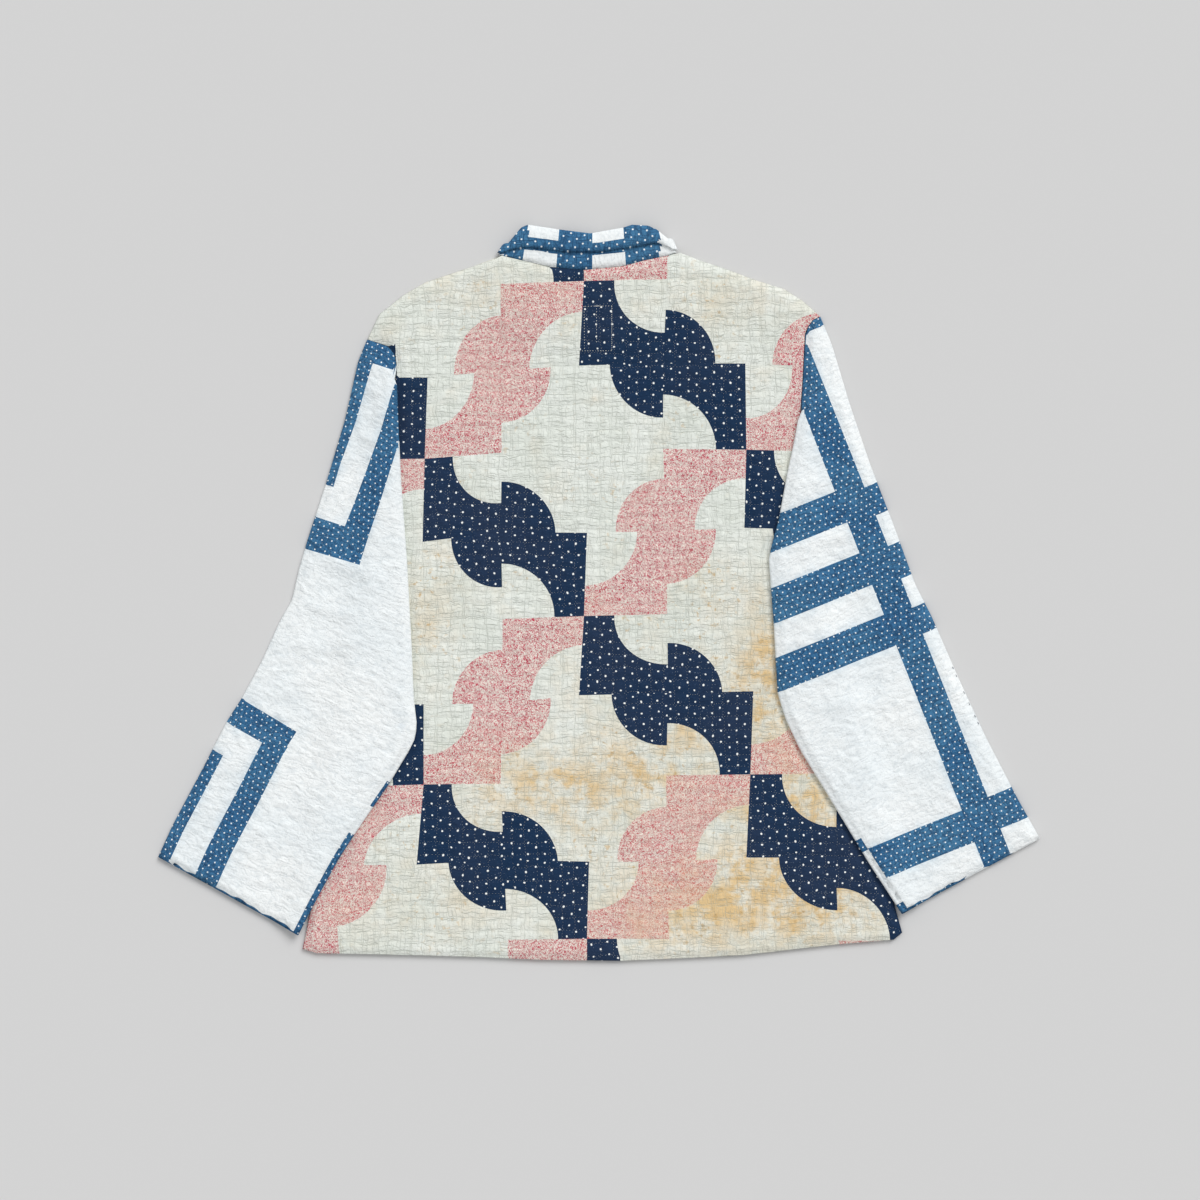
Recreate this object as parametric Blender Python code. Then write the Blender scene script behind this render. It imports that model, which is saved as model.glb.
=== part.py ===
"""A long-sleeved jacket cut from old patchwork quilts, laid flat with its back up.

X runs to the right across the back, Y from the hem to the collar and Z up from the surface that
the jacket lies on. Lengths below are millimetres and are turned to metres when a mesh is made.
Left and right are the wearer's, so the left sleeve lies at low X.
"""
import math

import bmesh
import bpy
from mathutils import Vector
from mathutils.geometry import delaunay_2d_cdt

MM = 0.001

# Cloth
WALL = 2.5
GAP = 0.3
PUFF = 1.0
PITCH = 13.0
SOFT_EDGE = 0.5
PUFF_MARGIN = 4.0
ROUND = 1.0 - math.sqrt(0.5)
ROUGHNESS = 0.92
SHARP_ANGLE = 40.0

# How finely edges are split, the least width that a mitred corner keeps as a share, and how near two
# points of a patch may lie before they count as one
EDGE_STEP = PITCH * 1.5
MITRE = 0.7
SAME_POINT = 1e-5

# Levels of the laid-out layers, each the height of a layer's underside
BACK_LEVEL = WALL + GAP
SLEEVE_LIFT = BACK_LEVEL + WALL + PUFF + GAP
NECK_RISE = WALL + GAP

# Middle of the finished jacket in the outline's own coordinates
MIDDLE = (-1.0, -1.0)

# Outline of the body, read round the edge from the right side of the hem
HEM_RIGHT = (314, -354)
UNDERARM_RIGHT = (203, 49)
SLEEVE_FOLD_RIGHT = (209, 200)
ARM_SEAM_RIGHT = [SLEEVE_FOLD_RIGHT, (210, 210), (212, 249), (213, 268), (216, 275), (221, 282), (229, 286)]
SHOULDER_RIGHT = [(224, 291), (210, 303), (191, 315), (162, 324), (130, 336), (103, 345)]
NECK_SEAM = [(83, 352), (71, 349), (46, 344), (24, 338), (-17, 334), (-52, 337), (-81, 344), (-102, 349),
             (-110, 345)]
SHOULDER_LEFT = [(-133, 338), (-157, 330), (-181, 322), (-205, 308), (-221, 295), (-229, 289)]
ARM_SEAM_LEFT = [(-242, 262), (-220, 255), (-213, 246), (-211, 233)]
SLEEVE_FOLD_LEFT = ARM_SEAM_LEFT[-1]
UNDERARM_LEFT = (-231, 33)
HEM_LEFT = (-309, -371)
HEM = [(-294, -375), (-200, -377), (-125, -379), (-60, -382), (21, -383), (90, -380), (149, -377),
       (245, -366), (305, -361)]

# Sleeves, from the cuff up: the outer fold, the fold that lies on the back, and the seam across the top
LEFT_OUTER = [(-459, -275), (-444, -242), (-411, -180), (-387, -133), (-372, -110), (-351, -71), (-333, -31),
              (-320, -8), (-313, 23), (-304, 54), (-285, 112), (-265, 179), (-251, 241), (-242, 262)]
LEFT_INNER = [(-313, -356), (-293, -317), (-271, -277), (-253, -249), (-218, -198), (-197, -163),
              (-191, -150), (-190, -136), (-193, -110), (-195, -59), (-200, 33), (-206, 114), (-209, 175),
              SLEEVE_FOLD_LEFT]
RIGHT_OUTER = [(457, -256), (432, -211), (400, -149), (371, -86), (344, -24), (328, 7), (305, 70), (281, 132),
               (260, 194), (241, 257), (229, 286)]
RIGHT_INNER = [(313, -334), (278, -280), (246, -227), (207, -163), (192, -131), (184, -105), (180, -33),
               (177, 6), (175, 34), (178, 49), (185, 74), (194, 123), (201, 155), SLEEVE_FOLD_RIGHT]
LEFT_TOP_POINTS = 4
RIGHT_TOP_POINTS = 3
SLEEVE_ROWS = 22
SLEEVE_COLUMNS = 11
CROSSING_STEPS = 60

# An even row nearer than this share of a row's width to a fixed one is left out
ROW_SPARE = 0.4

# The fold on the back starts this far below the corner at the armhole, and the sleeve climbs onto the
# back within the rise
FOLD_CORNER = 12.0
CORNER_RISE = 6.0

# How far beside the body a sleeve takes to come down to the surface, and the rolled folds
DRAPE = 38.0
ROLL = WALL + GAP / 2
ROLL_STEPS = 4

# Neck opening of the fronts and the collar band
NECK_MIDDLE = -13.0
NECK_HALF = 90.0
NECK_ENDS = (349.5, 351.8)
NECK_DROP = 73.0
ABOVE_NECK = 400.0
FRONT_GAP = 2.0
NECK_DRAPE = 40.0
NECK_MARGIN = 8.0
COLLAR_FOLD = [(-95, 362), (-82, 378), (-75, 381), (-42, 376), (-10, 372), (24, 378), (33, 381), (50, 380),
               (59, 376), (70, 367)]
COLLAR_FALL_EDGE = [(-103, 352), (-97, 355), (-81, 358), (-59, 356), (-37, 353), (-1, 353), (21, 356),
                    (43, 359), (58, 362), (64, 362), (74, 358), (77, 356)]
FALL_DEPTH = 21.0
STAND_DRAPE = 14.0
COLLAR_STATIONS = 18

# At the neck's ends the fall's edge lies at this share of the band's height; it eases to the front's
# own height over the share of a half turn, and never comes nearer the seam or the fold than the rest
FALL_SHARE = 0.2
FRONT_EASE = 0.4
LEAST_FRONT_FALL = 2.0
LEAST_BACK_FALL = 1.0
FOLD_CLEARANCE = 1.0

COLOURS = {
    "back": (0.70, 0.67, 0.57),
    "front_left": (0.68, 0.64, 0.54),
    "front_right": (0.68, 0.64, 0.54),
    "sleeve_left": (0.82, 0.83, 0.82),
    "sleeve_right": (0.82, 0.83, 0.82),
    "collar": (0.16, 0.28, 0.46),
}


def smooth(value):
    """Eases from 0 to 1 as the value does."""
    t = min(1.0, max(0.0, value))
    return t * t * (3.0 - 2.0 * t)


def blend(a, b, t):
    """The point a share t of the way from a to b."""
    return tuple(p + (q - p) * t for p, q in zip(a, b))


def run_length(line):
    """Length of a line of points."""
    return sum(math.dist(a, b) for a, b in zip(line, line[1:]))


def at_length(line, length):
    """The point at a length along a line of points."""
    for a, b in zip(line, line[1:]):
        step = math.dist(a, b)
        if length <= step:
            return blend(a, b, max(0.0, length) / step)
        length -= step
    return tuple(line[-1])


def at_x(line, x):
    """Height of a line of points that runs across, at one place across."""
    ordered = sorted(line)
    for a, b in zip(ordered, ordered[1:]):
        if x <= b[0]:
            return a[1] + (b[1] - a[1]) * (max(x, a[0]) - a[0]) / (b[0] - a[0])
    return ordered[-1][1]


def split(line, step):
    """A line of points with more put between them, no further apart than the step."""
    out = []
    for a, b in zip(line, line[1:]):
        parts = max(1, math.ceil(math.dist(a, b) / step))
        out += [blend(a, b, i / parts) for i in range(parts)]
    return out + [tuple(line[-1])]


def inside(p, outline):
    """Whether a point lies within a closed outline."""
    x, y = p[0], p[1]
    found = False
    for a, b in zip(outline, outline[1:] + outline[:1]):
        if (a[1] > y) != (b[1] > y) and x < a[0] + (b[0] - a[0]) * (y - a[1]) / (b[1] - a[1]):
            found = not found
    return found


def distance(p, line):
    """How far a point lies from a line of points."""
    best = math.inf
    for a, b in zip(line, line[1:]):
        dx, dy = b[0] - a[0], b[1] - a[1]
        t = ((p[0] - a[0]) * dx + (p[1] - a[1]) * dy) / (dx * dx + dy * dy)
        t = min(1.0, max(0.0, t))
        best = min(best, math.hypot(p[0] - a[0] - t * dx, p[1] - a[1] - t * dy))
    return best


def inset(outline, depths):
    """Moves each point of an anticlockwise outline inward by its own depth."""
    moved = []
    count = len(outline)
    for i, p in enumerate(outline):
        before = Vector(p) - Vector(outline[i - 1])
        after = Vector(outline[(i + 1) % count]) - Vector(p)
        normal = Vector((-before.y, before.x)).normalized() + Vector((-after.y, after.x)).normalized()
        normal.normalize()
        reach = depths[i] / max(MITRE, normal.dot(Vector((-after.y, after.x)).normalized()))
        moved.append((p[0] + normal.x * reach, p[1] + normal.y * reach))
    return moved


class Skin:
    """Gathers the faces of one piece of cloth. Faces whose corners meet share them."""

    def __init__(self):
        self.mesh = bmesh.new()
        self.corners = {}

    def corner(self, p):
        key = tuple(round(c, 3) for c in p)
        if key not in self.corners:
            self.corners[key] = self.mesh.verts.new(p)
        return self.corners[key]

    def face(self, *points):
        verts = []
        for p in points:
            vert = self.corner(p)
            if vert not in verts:
                verts.append(vert)
        if len(verts) > 2:
            self.mesh.faces.new(verts)

    def grid(self, rows, closed=False):
        """Triangles between neighbouring rows of points, all cut along the same diagonal."""
        for low, high in zip(rows, rows[1:]):
            count = len(low)
            for i in range(count if closed else count - 1):
                j = (i + 1) % count
                self.face(low[i], low[j], high[j])
                self.face(low[i], high[j], high[i])

    def patch(self, rim, points=(), lines=()):
        """Fills a rim with triangles that pass through the given points and keep to the given lines."""
        places = list(rim) + list(points)
        count = len(rim)
        edges = [(i, (i + 1) % count) for i in range(count)]
        edges += [(a + count, b + count) for a, b in lines]
        flat = [Vector(p[:2]) for p in places]
        _, _, faces, sources, _, _ = delaunay_2d_cdt(flat, edges, [], 1, SAME_POINT)
        for face in faces:
            self.face(*(places[sources[i][0]] for i in face))

    def finish(self, name, collection):
        """Turns the faces out, moves the piece to the jacket's middle and gives it its material."""
        bmesh.ops.recalc_face_normals(self.mesh, faces=self.mesh.faces)
        for vert in self.mesh.verts:
            x, y, z = vert.co
            vert.co = ((x - MIDDLE[0]) * MM, (y - MIDDLE[1]) * MM, z * MM)
        data = bpy.data.meshes.new(name)
        self.mesh.to_mesh(data)
        self.mesh.free()
        data.shade_smooth()
        data.set_sharp_from_angle(angle=math.radians(SHARP_ANGLE))
        data.materials.append(cloth_material(name))
        piece = bpy.data.objects.new(name, data)
        collection.objects.link(piece)
        return piece


def cloth_material(name):
    """Matt quilted cotton."""
    material = bpy.data.materials.new(name)
    material.use_nodes = True
    shader = material.node_tree.nodes["Principled BSDF"]
    shader.inputs["Base Color"].default_value = (*COLOURS[name], 1.0)
    shader.inputs["Roughness"].default_value = ROUGHNESS
    shader.inputs["Metallic"].default_value = 0.0
    return material


def quilting(outline, pitch, heading):
    """A square grid of quilting inside an outline.

    Gives the stitch crossings, the middles of the squares, which are raised, and the stitch lines.
    """
    ux, uy = math.cos(heading), math.sin(heading)
    reach = math.ceil(max(math.hypot(*p[:2]) for p in outline) / pitch)
    closed = list(outline) + [outline[0]]
    points = []
    crossings = {}

    def place(i, j):
        return (pitch * (i * ux - j * uy), pitch * (i * uy + j * ux))

    def fits(p):
        return inside(p, outline) and distance(p, closed) > PUFF_MARGIN

    for i in range(-reach, reach + 1):
        for j in range(-reach, reach + 1):
            low = place(i, j)
            if fits(low):
                crossings[i, j] = len(points)
                points.append((*low, 0.0))
            high = place(i + 0.5, j + 0.5)
            if fits(high):
                points.append((*high, PUFF))
    lines = []
    for (i, j), index in crossings.items():
        for neighbour in ((i + 1, j), (i, j + 1)):
            if neighbour in crossings:
                lines.append((index, crossings[neighbour]))
    return points, lines


def body_outline():
    """The back's edge, anticlockwise, with a mark on each point that lies on a turned side or shoulder."""
    runs = [
        ([HEM_RIGHT, UNDERARM_RIGHT], True),
        ([UNDERARM_RIGHT] + ARM_SEAM_RIGHT, False),
        ([ARM_SEAM_RIGHT[-1]] + SHOULDER_RIGHT, True),
        (NECK_SEAM, False),
        (SHOULDER_LEFT + [ARM_SEAM_LEFT[0]], True),
        (ARM_SEAM_LEFT + [UNDERARM_LEFT], False),
        ([UNDERARM_LEFT, HEM_LEFT], True),
        (HEM, False),
    ]
    return join_runs(runs)


def join_runs(runs):
    """One closed outline from stretches of edge that meet or follow each other."""
    outline = []
    turned = []
    for line, mark in runs:
        for p in split(line, EDGE_STEP):
            if outline and math.dist(p, outline[-1]) < GAP:
                continue
            outline.append(p)
            turned.append(mark)
    if math.dist(outline[0], outline[-1]) < GAP:
        outline.pop()
        turned.pop()
    return outline, turned


def clear_of_sleeves(outline):
    """Draws the armhole edges in by the gap that parts them from the sleeves."""
    seams = [[UNDERARM_RIGHT] + ARM_SEAM_RIGHT, ARM_SEAM_LEFT + [UNDERARM_LEFT]]
    depths = [GAP if min(distance(p, seam) for seam in seams) < GAP else 0.0 for p in outline]
    return inset(outline, depths)


def neck_arc(inward, steps):
    """The neck opening of the fronts, from its left end round the bottom to its right end."""
    arc = []
    for i in range(steps + 1):
        turn = math.pi * (1.0 - i / steps)
        end = NECK_ENDS[0] + (NECK_ENDS[1] - NECK_ENDS[0]) * i / steps
        across = NECK_MIDDLE + (NECK_HALF - inward) * math.cos(turn)
        arc.append((across, end - NECK_DROP * math.sin(turn)))
    return arc


def neck_rise(p):
    """How much the back is lifted by the front of the collar, which lies under it."""
    arc = neck_arc(0.0, COLLAR_STATIONS)
    if inside(p, arc + [(arc[-1][0], ABOVE_NECK), (arc[0][0], ABOVE_NECK)]):
        return NECK_RISE
    return NECK_RISE * (1.0 - smooth((distance(p, arc) - NECK_MARGIN) / NECK_DRAPE))


def make_back(collection):
    """The back panel: plain inside, quilted outside, its sides and shoulders turned down to the seams."""
    skin = Skin()
    outline, turned = body_outline()
    outline = clear_of_sleeves(outline)
    radii = [WALL if mark else SOFT_EDGE for mark in turned]
    top = BACK_LEVEL + WALL
    flat_top = []
    bevel = []
    edge = []
    under = []
    drawn_in = inset(outline, radii)
    half_in = inset(outline, [r * ROUND for r in radii])
    for p, q, r, radius, mark in zip(outline, half_in, drawn_in, radii, turned):
        lift = 0.0 if mark else neck_rise(p)
        low = top + lift - radius
        high = top + neck_rise(r)
        under.append((*p, BACK_LEVEL + lift))
        edge.append((*p, low))
        bevel.append((*q, high - (high - low) * ROUND))
        flat_top.append((*r, high))
    skin.grid([under, edge, bevel, flat_top], closed=True)
    points, lines = quilting(drawn_in, PITCH, 0.0)
    skin.patch(flat_top, [(x, y, top + neck_rise((x, y)) + puff) for x, y, puff in points], lines)
    turned_in = [p for p, mark in zip(drawn_in, turned) if mark]
    shoulders = [(*p, BACK_LEVEL + neck_rise(p)) for p in turned_in if neck_rise(p) > GAP]
    lifted, _ = quilting(drawn_in, EDGE_STEP, 0.0)
    points = [(x, y, BACK_LEVEL + neck_rise((x, y))) for x, y, _ in lifted if neck_rise((x, y)) > 0.0]
    skin.patch(under, shoulders + points)
    return skin.finish("back", collection)


def make_front(name, outline, turned, collection):
    """A front panel: it lies under the back with its outer side down, flat on the surface."""
    skin = Skin()
    outline = clear_of_sleeves(outline)
    radii = [WALL if mark else SOFT_EDGE for mark in turned]
    base = [(*p, 0.0) for p in inset(outline, radii)]
    bevel = [(*p, r * ROUND) for p, r in zip(inset(outline, [r * ROUND for r in radii]), radii)]
    edge = [(*p, r) for p, r in zip(outline, radii)]
    upper = [(*p, WALL) for p in outline]
    skin.grid([upper, edge, bevel, base], closed=True)
    skin.patch(upper)
    skin.patch(base)
    return skin.finish(name, collection)


def make_fronts(collection):
    """Both front panels, edge to edge at the centre front."""
    arc = neck_arc(0.0, COLLAR_STATIONS)
    left_edge = NECK_MIDDLE - FRONT_GAP / 2
    right_edge = NECK_MIDDLE + FRONT_GAP / 2
    bottom = min(y for _, y in HEM)
    left_arc = [p for p in arc if p[0] < left_edge - GAP]
    right_arc = [p for p in arc if p[0] > right_edge + GAP]
    lowest = arc[len(arc) // 2][1]
    left_hem = [p for p in HEM if p[0] < left_edge]
    right_hem = [p for p in HEM if p[0] > right_edge]
    left = join_runs([
        ([(left_edge, lowest)] + left_arc[::-1], False),
        (SHOULDER_LEFT + [ARM_SEAM_LEFT[0]], True),
        (ARM_SEAM_LEFT + [UNDERARM_LEFT], False),
        ([UNDERARM_LEFT, HEM_LEFT], True),
        (left_hem + [(left_edge, bottom)], False),
        ([(left_edge, bottom), (left_edge, lowest)], False),
    ])
    right = join_runs([
        ([HEM_RIGHT, UNDERARM_RIGHT], True),
        ([UNDERARM_RIGHT] + ARM_SEAM_RIGHT, False),
        ([ARM_SEAM_RIGHT[-1]] + SHOULDER_RIGHT, True),
        (right_arc[::-1] + [(right_edge, lowest)], False),
        ([(right_edge, lowest), (right_edge, bottom)], False),
        ([(right_edge, bottom)] + right_hem, False),
    ])
    make_front("front_left", *left, collection)
    make_front("front_right", *right, collection)


class Sleeve:
    """One quilted sheet folded round the arm and laid flat, partly on the back.

    Each row of points runs round the sheet: from its underarm edge along the lower layer, round the
    outer fold, along the upper layer, round the fold that lies on the back, and to its other edge.
    """

    def __init__(self, outer, inner, arm_seam, top_points, underarm, hem_corner):
        beside = len(arm_seam) - top_points + 1
        self.outer = outer
        self.inner = inner + arm_seam[1:beside]
        self.top = arm_seam[beside - 1:][::-1]
        self.corner = inner[-1]
        self.corner_share = run_length(inner) / run_length(self.inner)
        self.fold_share = self.corner_share - FOLD_CORNER / run_length(self.inner)
        self.underarm = underarm
        self.body_edge = [self.corner, underarm, hem_corner]
        self.body = body_outline()[0]
        down = Vector(outer[0]) - Vector(outer[-1])
        self.down = down.normalized()
        self.heading = math.atan2(down.y, down.x)

    def lift(self, p):
        """Height of the sleeve's underside: up on the back, and eased down to the surface beside it."""
        past_corner = self.down.dot(Vector(p[:2]) - Vector(self.corner))
        share = smooth(past_corner / CORNER_RISE)
        if inside(p, self.body):
            return SLEEVE_LIFT * share
        return SLEEVE_LIFT * share * (1.0 - smooth(distance(p, self.body_edge) / DRAPE))

    def body_crossing(self, line):
        """How far along a row the body's edge is met, or nothing where it isn't."""
        length = run_length(line)
        step = length / CROSSING_STEPS
        for i in range(1, CROSSING_STEPS + 1):
            if inside(at_length(line, step * i), self.body):
                clear, within = step * (i - 1), step * i
                while within - clear > GAP / 100:
                    halfway = (clear + within) / 2
                    if inside(at_length(line, halfway), self.body):
                        within = halfway
                    else:
                        clear = halfway
                return clear
        return None

    def row(self, share):
        """Outer and inner points round the sheet at a share of the way from the cuff to the armhole."""
        beside_seam = share >= self.fold_share
        if share >= 1.0:
            line = self.top
        else:
            outer = at_length(self.outer, share * run_length(self.outer))
            inner = at_length(self.inner, share * run_length(self.inner))
            line = [outer, self.fold_start() if share == self.fold_share else inner]
        length = run_length(line)
        stops = [ROLL + (length - 2 * ROLL) * i / SLEEVE_COLUMNS for i in range(SLEEVE_COLUMNS + 1)]
        crossing = None if beside_seam else self.body_crossing(line)
        below_underarm = math.inf
        if crossing is not None:
            below_underarm = self.underarm[1] - at_length(line, crossing)[1]
        at_armhole = beside_seam or below_underarm < 0.0
        lower_end = stops[-2] - GAP
        if at_armhole and not beside_seam:
            lower_end = crossing
        elif below_underarm < run_length(self.outer) / SLEEVE_ROWS:
            lower_end = crossing - GAP
        lower_stops = [s if not at_armhole else ROLL + (lower_end - ROLL) * i / (SLEEVE_COLUMNS - 1)
                       for i, s in enumerate(stops[:-1])]
        if not at_armhole:
            limits = [lower_end - (SLEEVE_COLUMNS - 1 - i) * GAP for i in range(SLEEVE_COLUMNS)]
            lower_stops = [min(s, limit) for s, limit in zip(lower_stops, limits)]
            lower_stops[-1] = lower_end

        def point(s, z):
            x, y = at_length(line, s)
            return (x, y, z)

        def lower_level(s):
            return 0.0 if at_armhole else self.lift(at_length(line, s))

        def upper_level(s):
            return self.lift(at_length(line, s))

        outside = [point(s, lower_level(s)) for s in reversed(lower_stops)]
        within = [point(s, lower_level(s) + WALL) for s in reversed(lower_stops)]
        centre = upper_level(ROLL) + ROLL
        for i in range(1, ROLL_STEPS):
            turn = math.pi * i / ROLL_STEPS
            sweep, climb = math.sin(turn), -math.cos(turn)
            outside.append(point(ROLL * (1.0 - sweep), centre + ROLL * climb))
            within.append(point(ROLL - GAP / 2 * sweep, centre + GAP / 2 * climb))
        upper_start = len(outside)
        outside += [point(s, upper_level(s) + BACK_LEVEL + WALL) for s in stops]
        within += [point(s, upper_level(s) + BACK_LEVEL) for s in stops]
        upper_end = len(outside)
        centre = upper_level(length - ROLL) + ROLL
        for i in range(1, ROLL_STEPS):
            turn = math.pi * i / ROLL_STEPS
            sweep, climb = math.sin(turn), math.cos(turn)
            outside.append(point(length - ROLL * (1.0 - sweep), centre + ROLL * climb))
            within.append(point(length - ROLL + GAP / 2 * sweep, centre + GAP / 2 * climb))
        tuck_end = lower_end + GAP
        if at_armhole and not beside_seam:
            tuck_end = min(tuck_end, length - ROLL - WALL)
        for s in (length - ROLL, tuck_end):
            outside.append(point(s, upper_level(s)))
            within.append(point(s, upper_level(s) + WALL))
        return outside, within, upper_start, upper_end

    def fold_start(self):
        """Where the fold starts, just clear of the armhole's edge."""
        x, y = at_length(self.body_edge, FOLD_CORNER)
        away = GAP * 2 if x > 0 else -GAP * 2
        return (x + away, y)

    def make(self, name, collection):
        """The sleeve's sheet, its upper layer quilted between the two folds."""
        skin = Skin()
        fixed = sorted({self.fold_share, self.corner_share, 1.0})
        even = [i / SLEEVE_ROWS for i in range(SLEEVE_ROWS)]
        shares = sorted(fixed + [s for s in even if min(abs(s - f) for f in fixed) > ROW_SPARE / SLEEVE_ROWS])
        rows = [self.row(share) for share in shares]
        start, end = rows[0][2], rows[0][3]
        outside = [row[0] for row in rows]
        within = [row[1] for row in rows]
        lower = slice(SLEEVE_COLUMNS - 1, None, -1)
        tuck = slice(-1, -3, -1)
        for surface in (within, outside):
            skin.grid([row[lower] for row in surface])
            skin.grid([row[SLEEVE_COLUMNS - 1:start + 1] for row in surface])
            skin.grid([row[end - 1:-1] for row in surface])
            skin.grid([row[tuck] for row in surface])
        skin.grid([row[start:end] for row in within])
        skin.grid([outside[0], within[0]])
        skin.grid([outside[-1], within[-1]])
        skin.grid([[row[0] for row in outside], [row[0] for row in within]])
        skin.grid([[row[-1] for row in outside], [row[-1] for row in within]])
        rim = outside[0][start:end]
        rim += [row[end - 1] for row in outside[1:]]
        rim += outside[-1][start:end - 1][::-1]
        rim += [row[start] for row in outside[1:-1]][::-1]
        points, lines = quilting(rim, PITCH, self.heading)
        level = BACK_LEVEL + WALL
        skin.patch(rim, [(x, y, level + self.lift((x, y)) + puff) for x, y, puff in points], lines)
        return skin.finish(name, collection)


def collar_section(height, fall_edge, front):
    """The band's section at one place round the neck, as points of height up the stand and layer offset.

    The stand rises from the neck seam, turns over at the fold and falls outside itself. Where the
    front share is 1 the stand's lower end drops to the level of the fronts.
    """
    near, far = GAP / 2, WALL + GAP / 2
    fold = height - ROLL
    drape = max(GAP, min(STAND_DRAPE, fall_edge - WALL))
    rises = [0.0, drape / 2, drape, fold]

    def drop(h):
        return front * NECK_RISE * (1.0 - smooth(h / drape))

    section = [(h, near + drop(h)) for h in rises]
    middle = far + GAP / 2
    for i in range(1, ROLL_STEPS):
        turn = math.pi * i / ROLL_STEPS
        section.append((fold + ROLL * math.sin(turn), middle - ROLL * math.cos(turn)))
    section.append((fold, middle + ROLL))
    section.append((fall_edge, middle + ROLL))
    section.append((fall_edge, middle + GAP / 2))
    section.append((fold, middle + GAP / 2))
    section.append((fold + GAP / 2, middle))
    section += [(h, far + drop(h)) for h in reversed(rises)]
    return section


def make_collar(collection):
    """The collar: a quilted band laid flat round the neck opening, with its ends at the centre front."""
    skin = Skin()
    middle = WALL * 2 + GAP * 1.5
    base_arc = neck_arc(GAP, COLLAR_STATIONS)
    left_end, right_end = base_arc[0], base_arc[-1]
    fold_left, fold_right = COLLAR_FOLD[0], COLLAR_FOLD[-1]
    stations = []

    def station(base, fold, fall_edge, front, turn, outward):
        """One section of the band, turned about the neck's side by the turn, 0 on the back."""
        height = math.dist(base, fold)
        up = (Vector(fold) - Vector(base)).normalized()
        edge = min(fall_edge, height - ROLL - FOLD_CLEARANCE)
        loop = []
        for h, offset in collar_section(height, edge, front):
            aside = offset * math.sin(turn) * outward
            x = base[0] + up.x * h + aside
            loop.append((x, base[1] + up.y * h, middle + offset * math.cos(turn)))
        return loop

    def front_stations(order, side):
        """Sections under the back, to or from the centre front, with the side's sign."""
        out = []
        for i in order:
            turn = math.pi * (1.0 - i / COLLAR_STATIONS)
            share = i / COLLAR_STATIONS
            ends = fold_left[1] + (fold_right[1] - fold_left[1]) * share
            reach = (fold_right[0] - fold_left[0]) / 2
            centre = (fold_right[0] + fold_left[0]) / 2
            fold_drop = ends - (base_arc[COLLAR_STATIONS // 2][1] + FALL_DEPTH + STAND_DRAPE + ROLL)
            fold = (centre + reach * math.cos(turn), ends - fold_drop * math.sin(turn))
            base = base_arc[i]
            if i == COLLAR_STATIONS // 2:
                base = (NECK_MIDDLE + side * FRONT_GAP / 2, base[1])
                fold = (NECK_MIDDLE + side * FRONT_GAP / 2, fold[1])
            base = (base[0], base[1] + GAP)
            height = math.dist(base, fold)
            share_front = smooth(math.sin(turn) / FRONT_EASE)
            fall = height * (1.0 - share_front) * FALL_SHARE + (height - FALL_DEPTH) * share_front
            out.append(station(base, fold, max(fall, LEAST_FRONT_FALL), share_front, math.pi, 0.0))
        return out

    count = COLLAR_STATIONS
    stations += front_stations(range(count // 2, -1, -1), -1.0)
    base = (left_end[0], left_end[1] + GAP)
    for i in range(1, ROLL_STEPS):
        turn = math.pi * (1.0 - i / ROLL_STEPS)
        fall = math.dist(base, fold_left) * FALL_SHARE
        stations.append(station(base, fold_left, fall, 0.0, turn, -1.0))
    right_base = (right_end[0], right_end[1] + GAP)
    for i in range(count + 1):
        share = i / count
        x = base[0] + (right_base[0] - base[0]) * share
        y = at_x(NECK_SEAM + [base, right_base], x) + GAP
        if i in (0, count):
            y = base[1] if i == 0 else right_base[1]
        fold_x = fold_left[0] + (fold_right[0] - fold_left[0]) * share
        fold = (fold_x, at_x(COLLAR_FOLD, fold_x))
        fall = at_x(COLLAR_FALL_EDGE, x) - y
        if i in (0, count):
            fall = math.dist((x, y), fold) * FALL_SHARE
        stations.append(station((x, y), fold, max(fall, LEAST_BACK_FALL), 0.0, 0.0, 0.0))
    for i in range(1, ROLL_STEPS):
        turn = math.pi * i / ROLL_STEPS
        fall = math.dist(right_base, fold_right) * FALL_SHARE
        stations.append(station(right_base, fold_right, fall, 0.0, turn, 1.0))
    stations += front_stations(range(count, count // 2 - 1, -1), 1.0)
    skin.grid(stations, closed=True)
    skin.face(*stations[0])
    skin.face(*stations[-1])
    return skin.finish("collar", collection)


def main():
    """Builds the jacket in its own collection."""
    for piece in list(bpy.data.objects):
        bpy.data.objects.remove(piece)
    collection = bpy.data.collections.new("quilt_jacket")
    bpy.context.scene.collection.children.link(collection)
    make_back(collection)
    make_fronts(collection)
    left = Sleeve(LEFT_OUTER, LEFT_INNER, ARM_SEAM_LEFT[::-1], LEFT_TOP_POINTS, UNDERARM_LEFT, HEM_LEFT)
    right = Sleeve(RIGHT_OUTER, RIGHT_INNER, ARM_SEAM_RIGHT, RIGHT_TOP_POINTS, UNDERARM_RIGHT, HEM_RIGHT)
    left.make("sleeve_left", collection)
    right.make("sleeve_right", collection)
    make_collar(collection)


main()
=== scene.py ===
"""Looks of a jacket cut from old patchwork quilts, laid flat with its back up.

Outlines, levels and quilting are lengths in millimetres, in the outline's own coordinates. They are
turned to metres and moved to the jacket's middle when a mesh is made.
"""
import math

import bmesh
import bpy
import numpy as np
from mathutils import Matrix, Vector, noise
from mathutils.geometry import delaunay_2d_cdt


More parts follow.
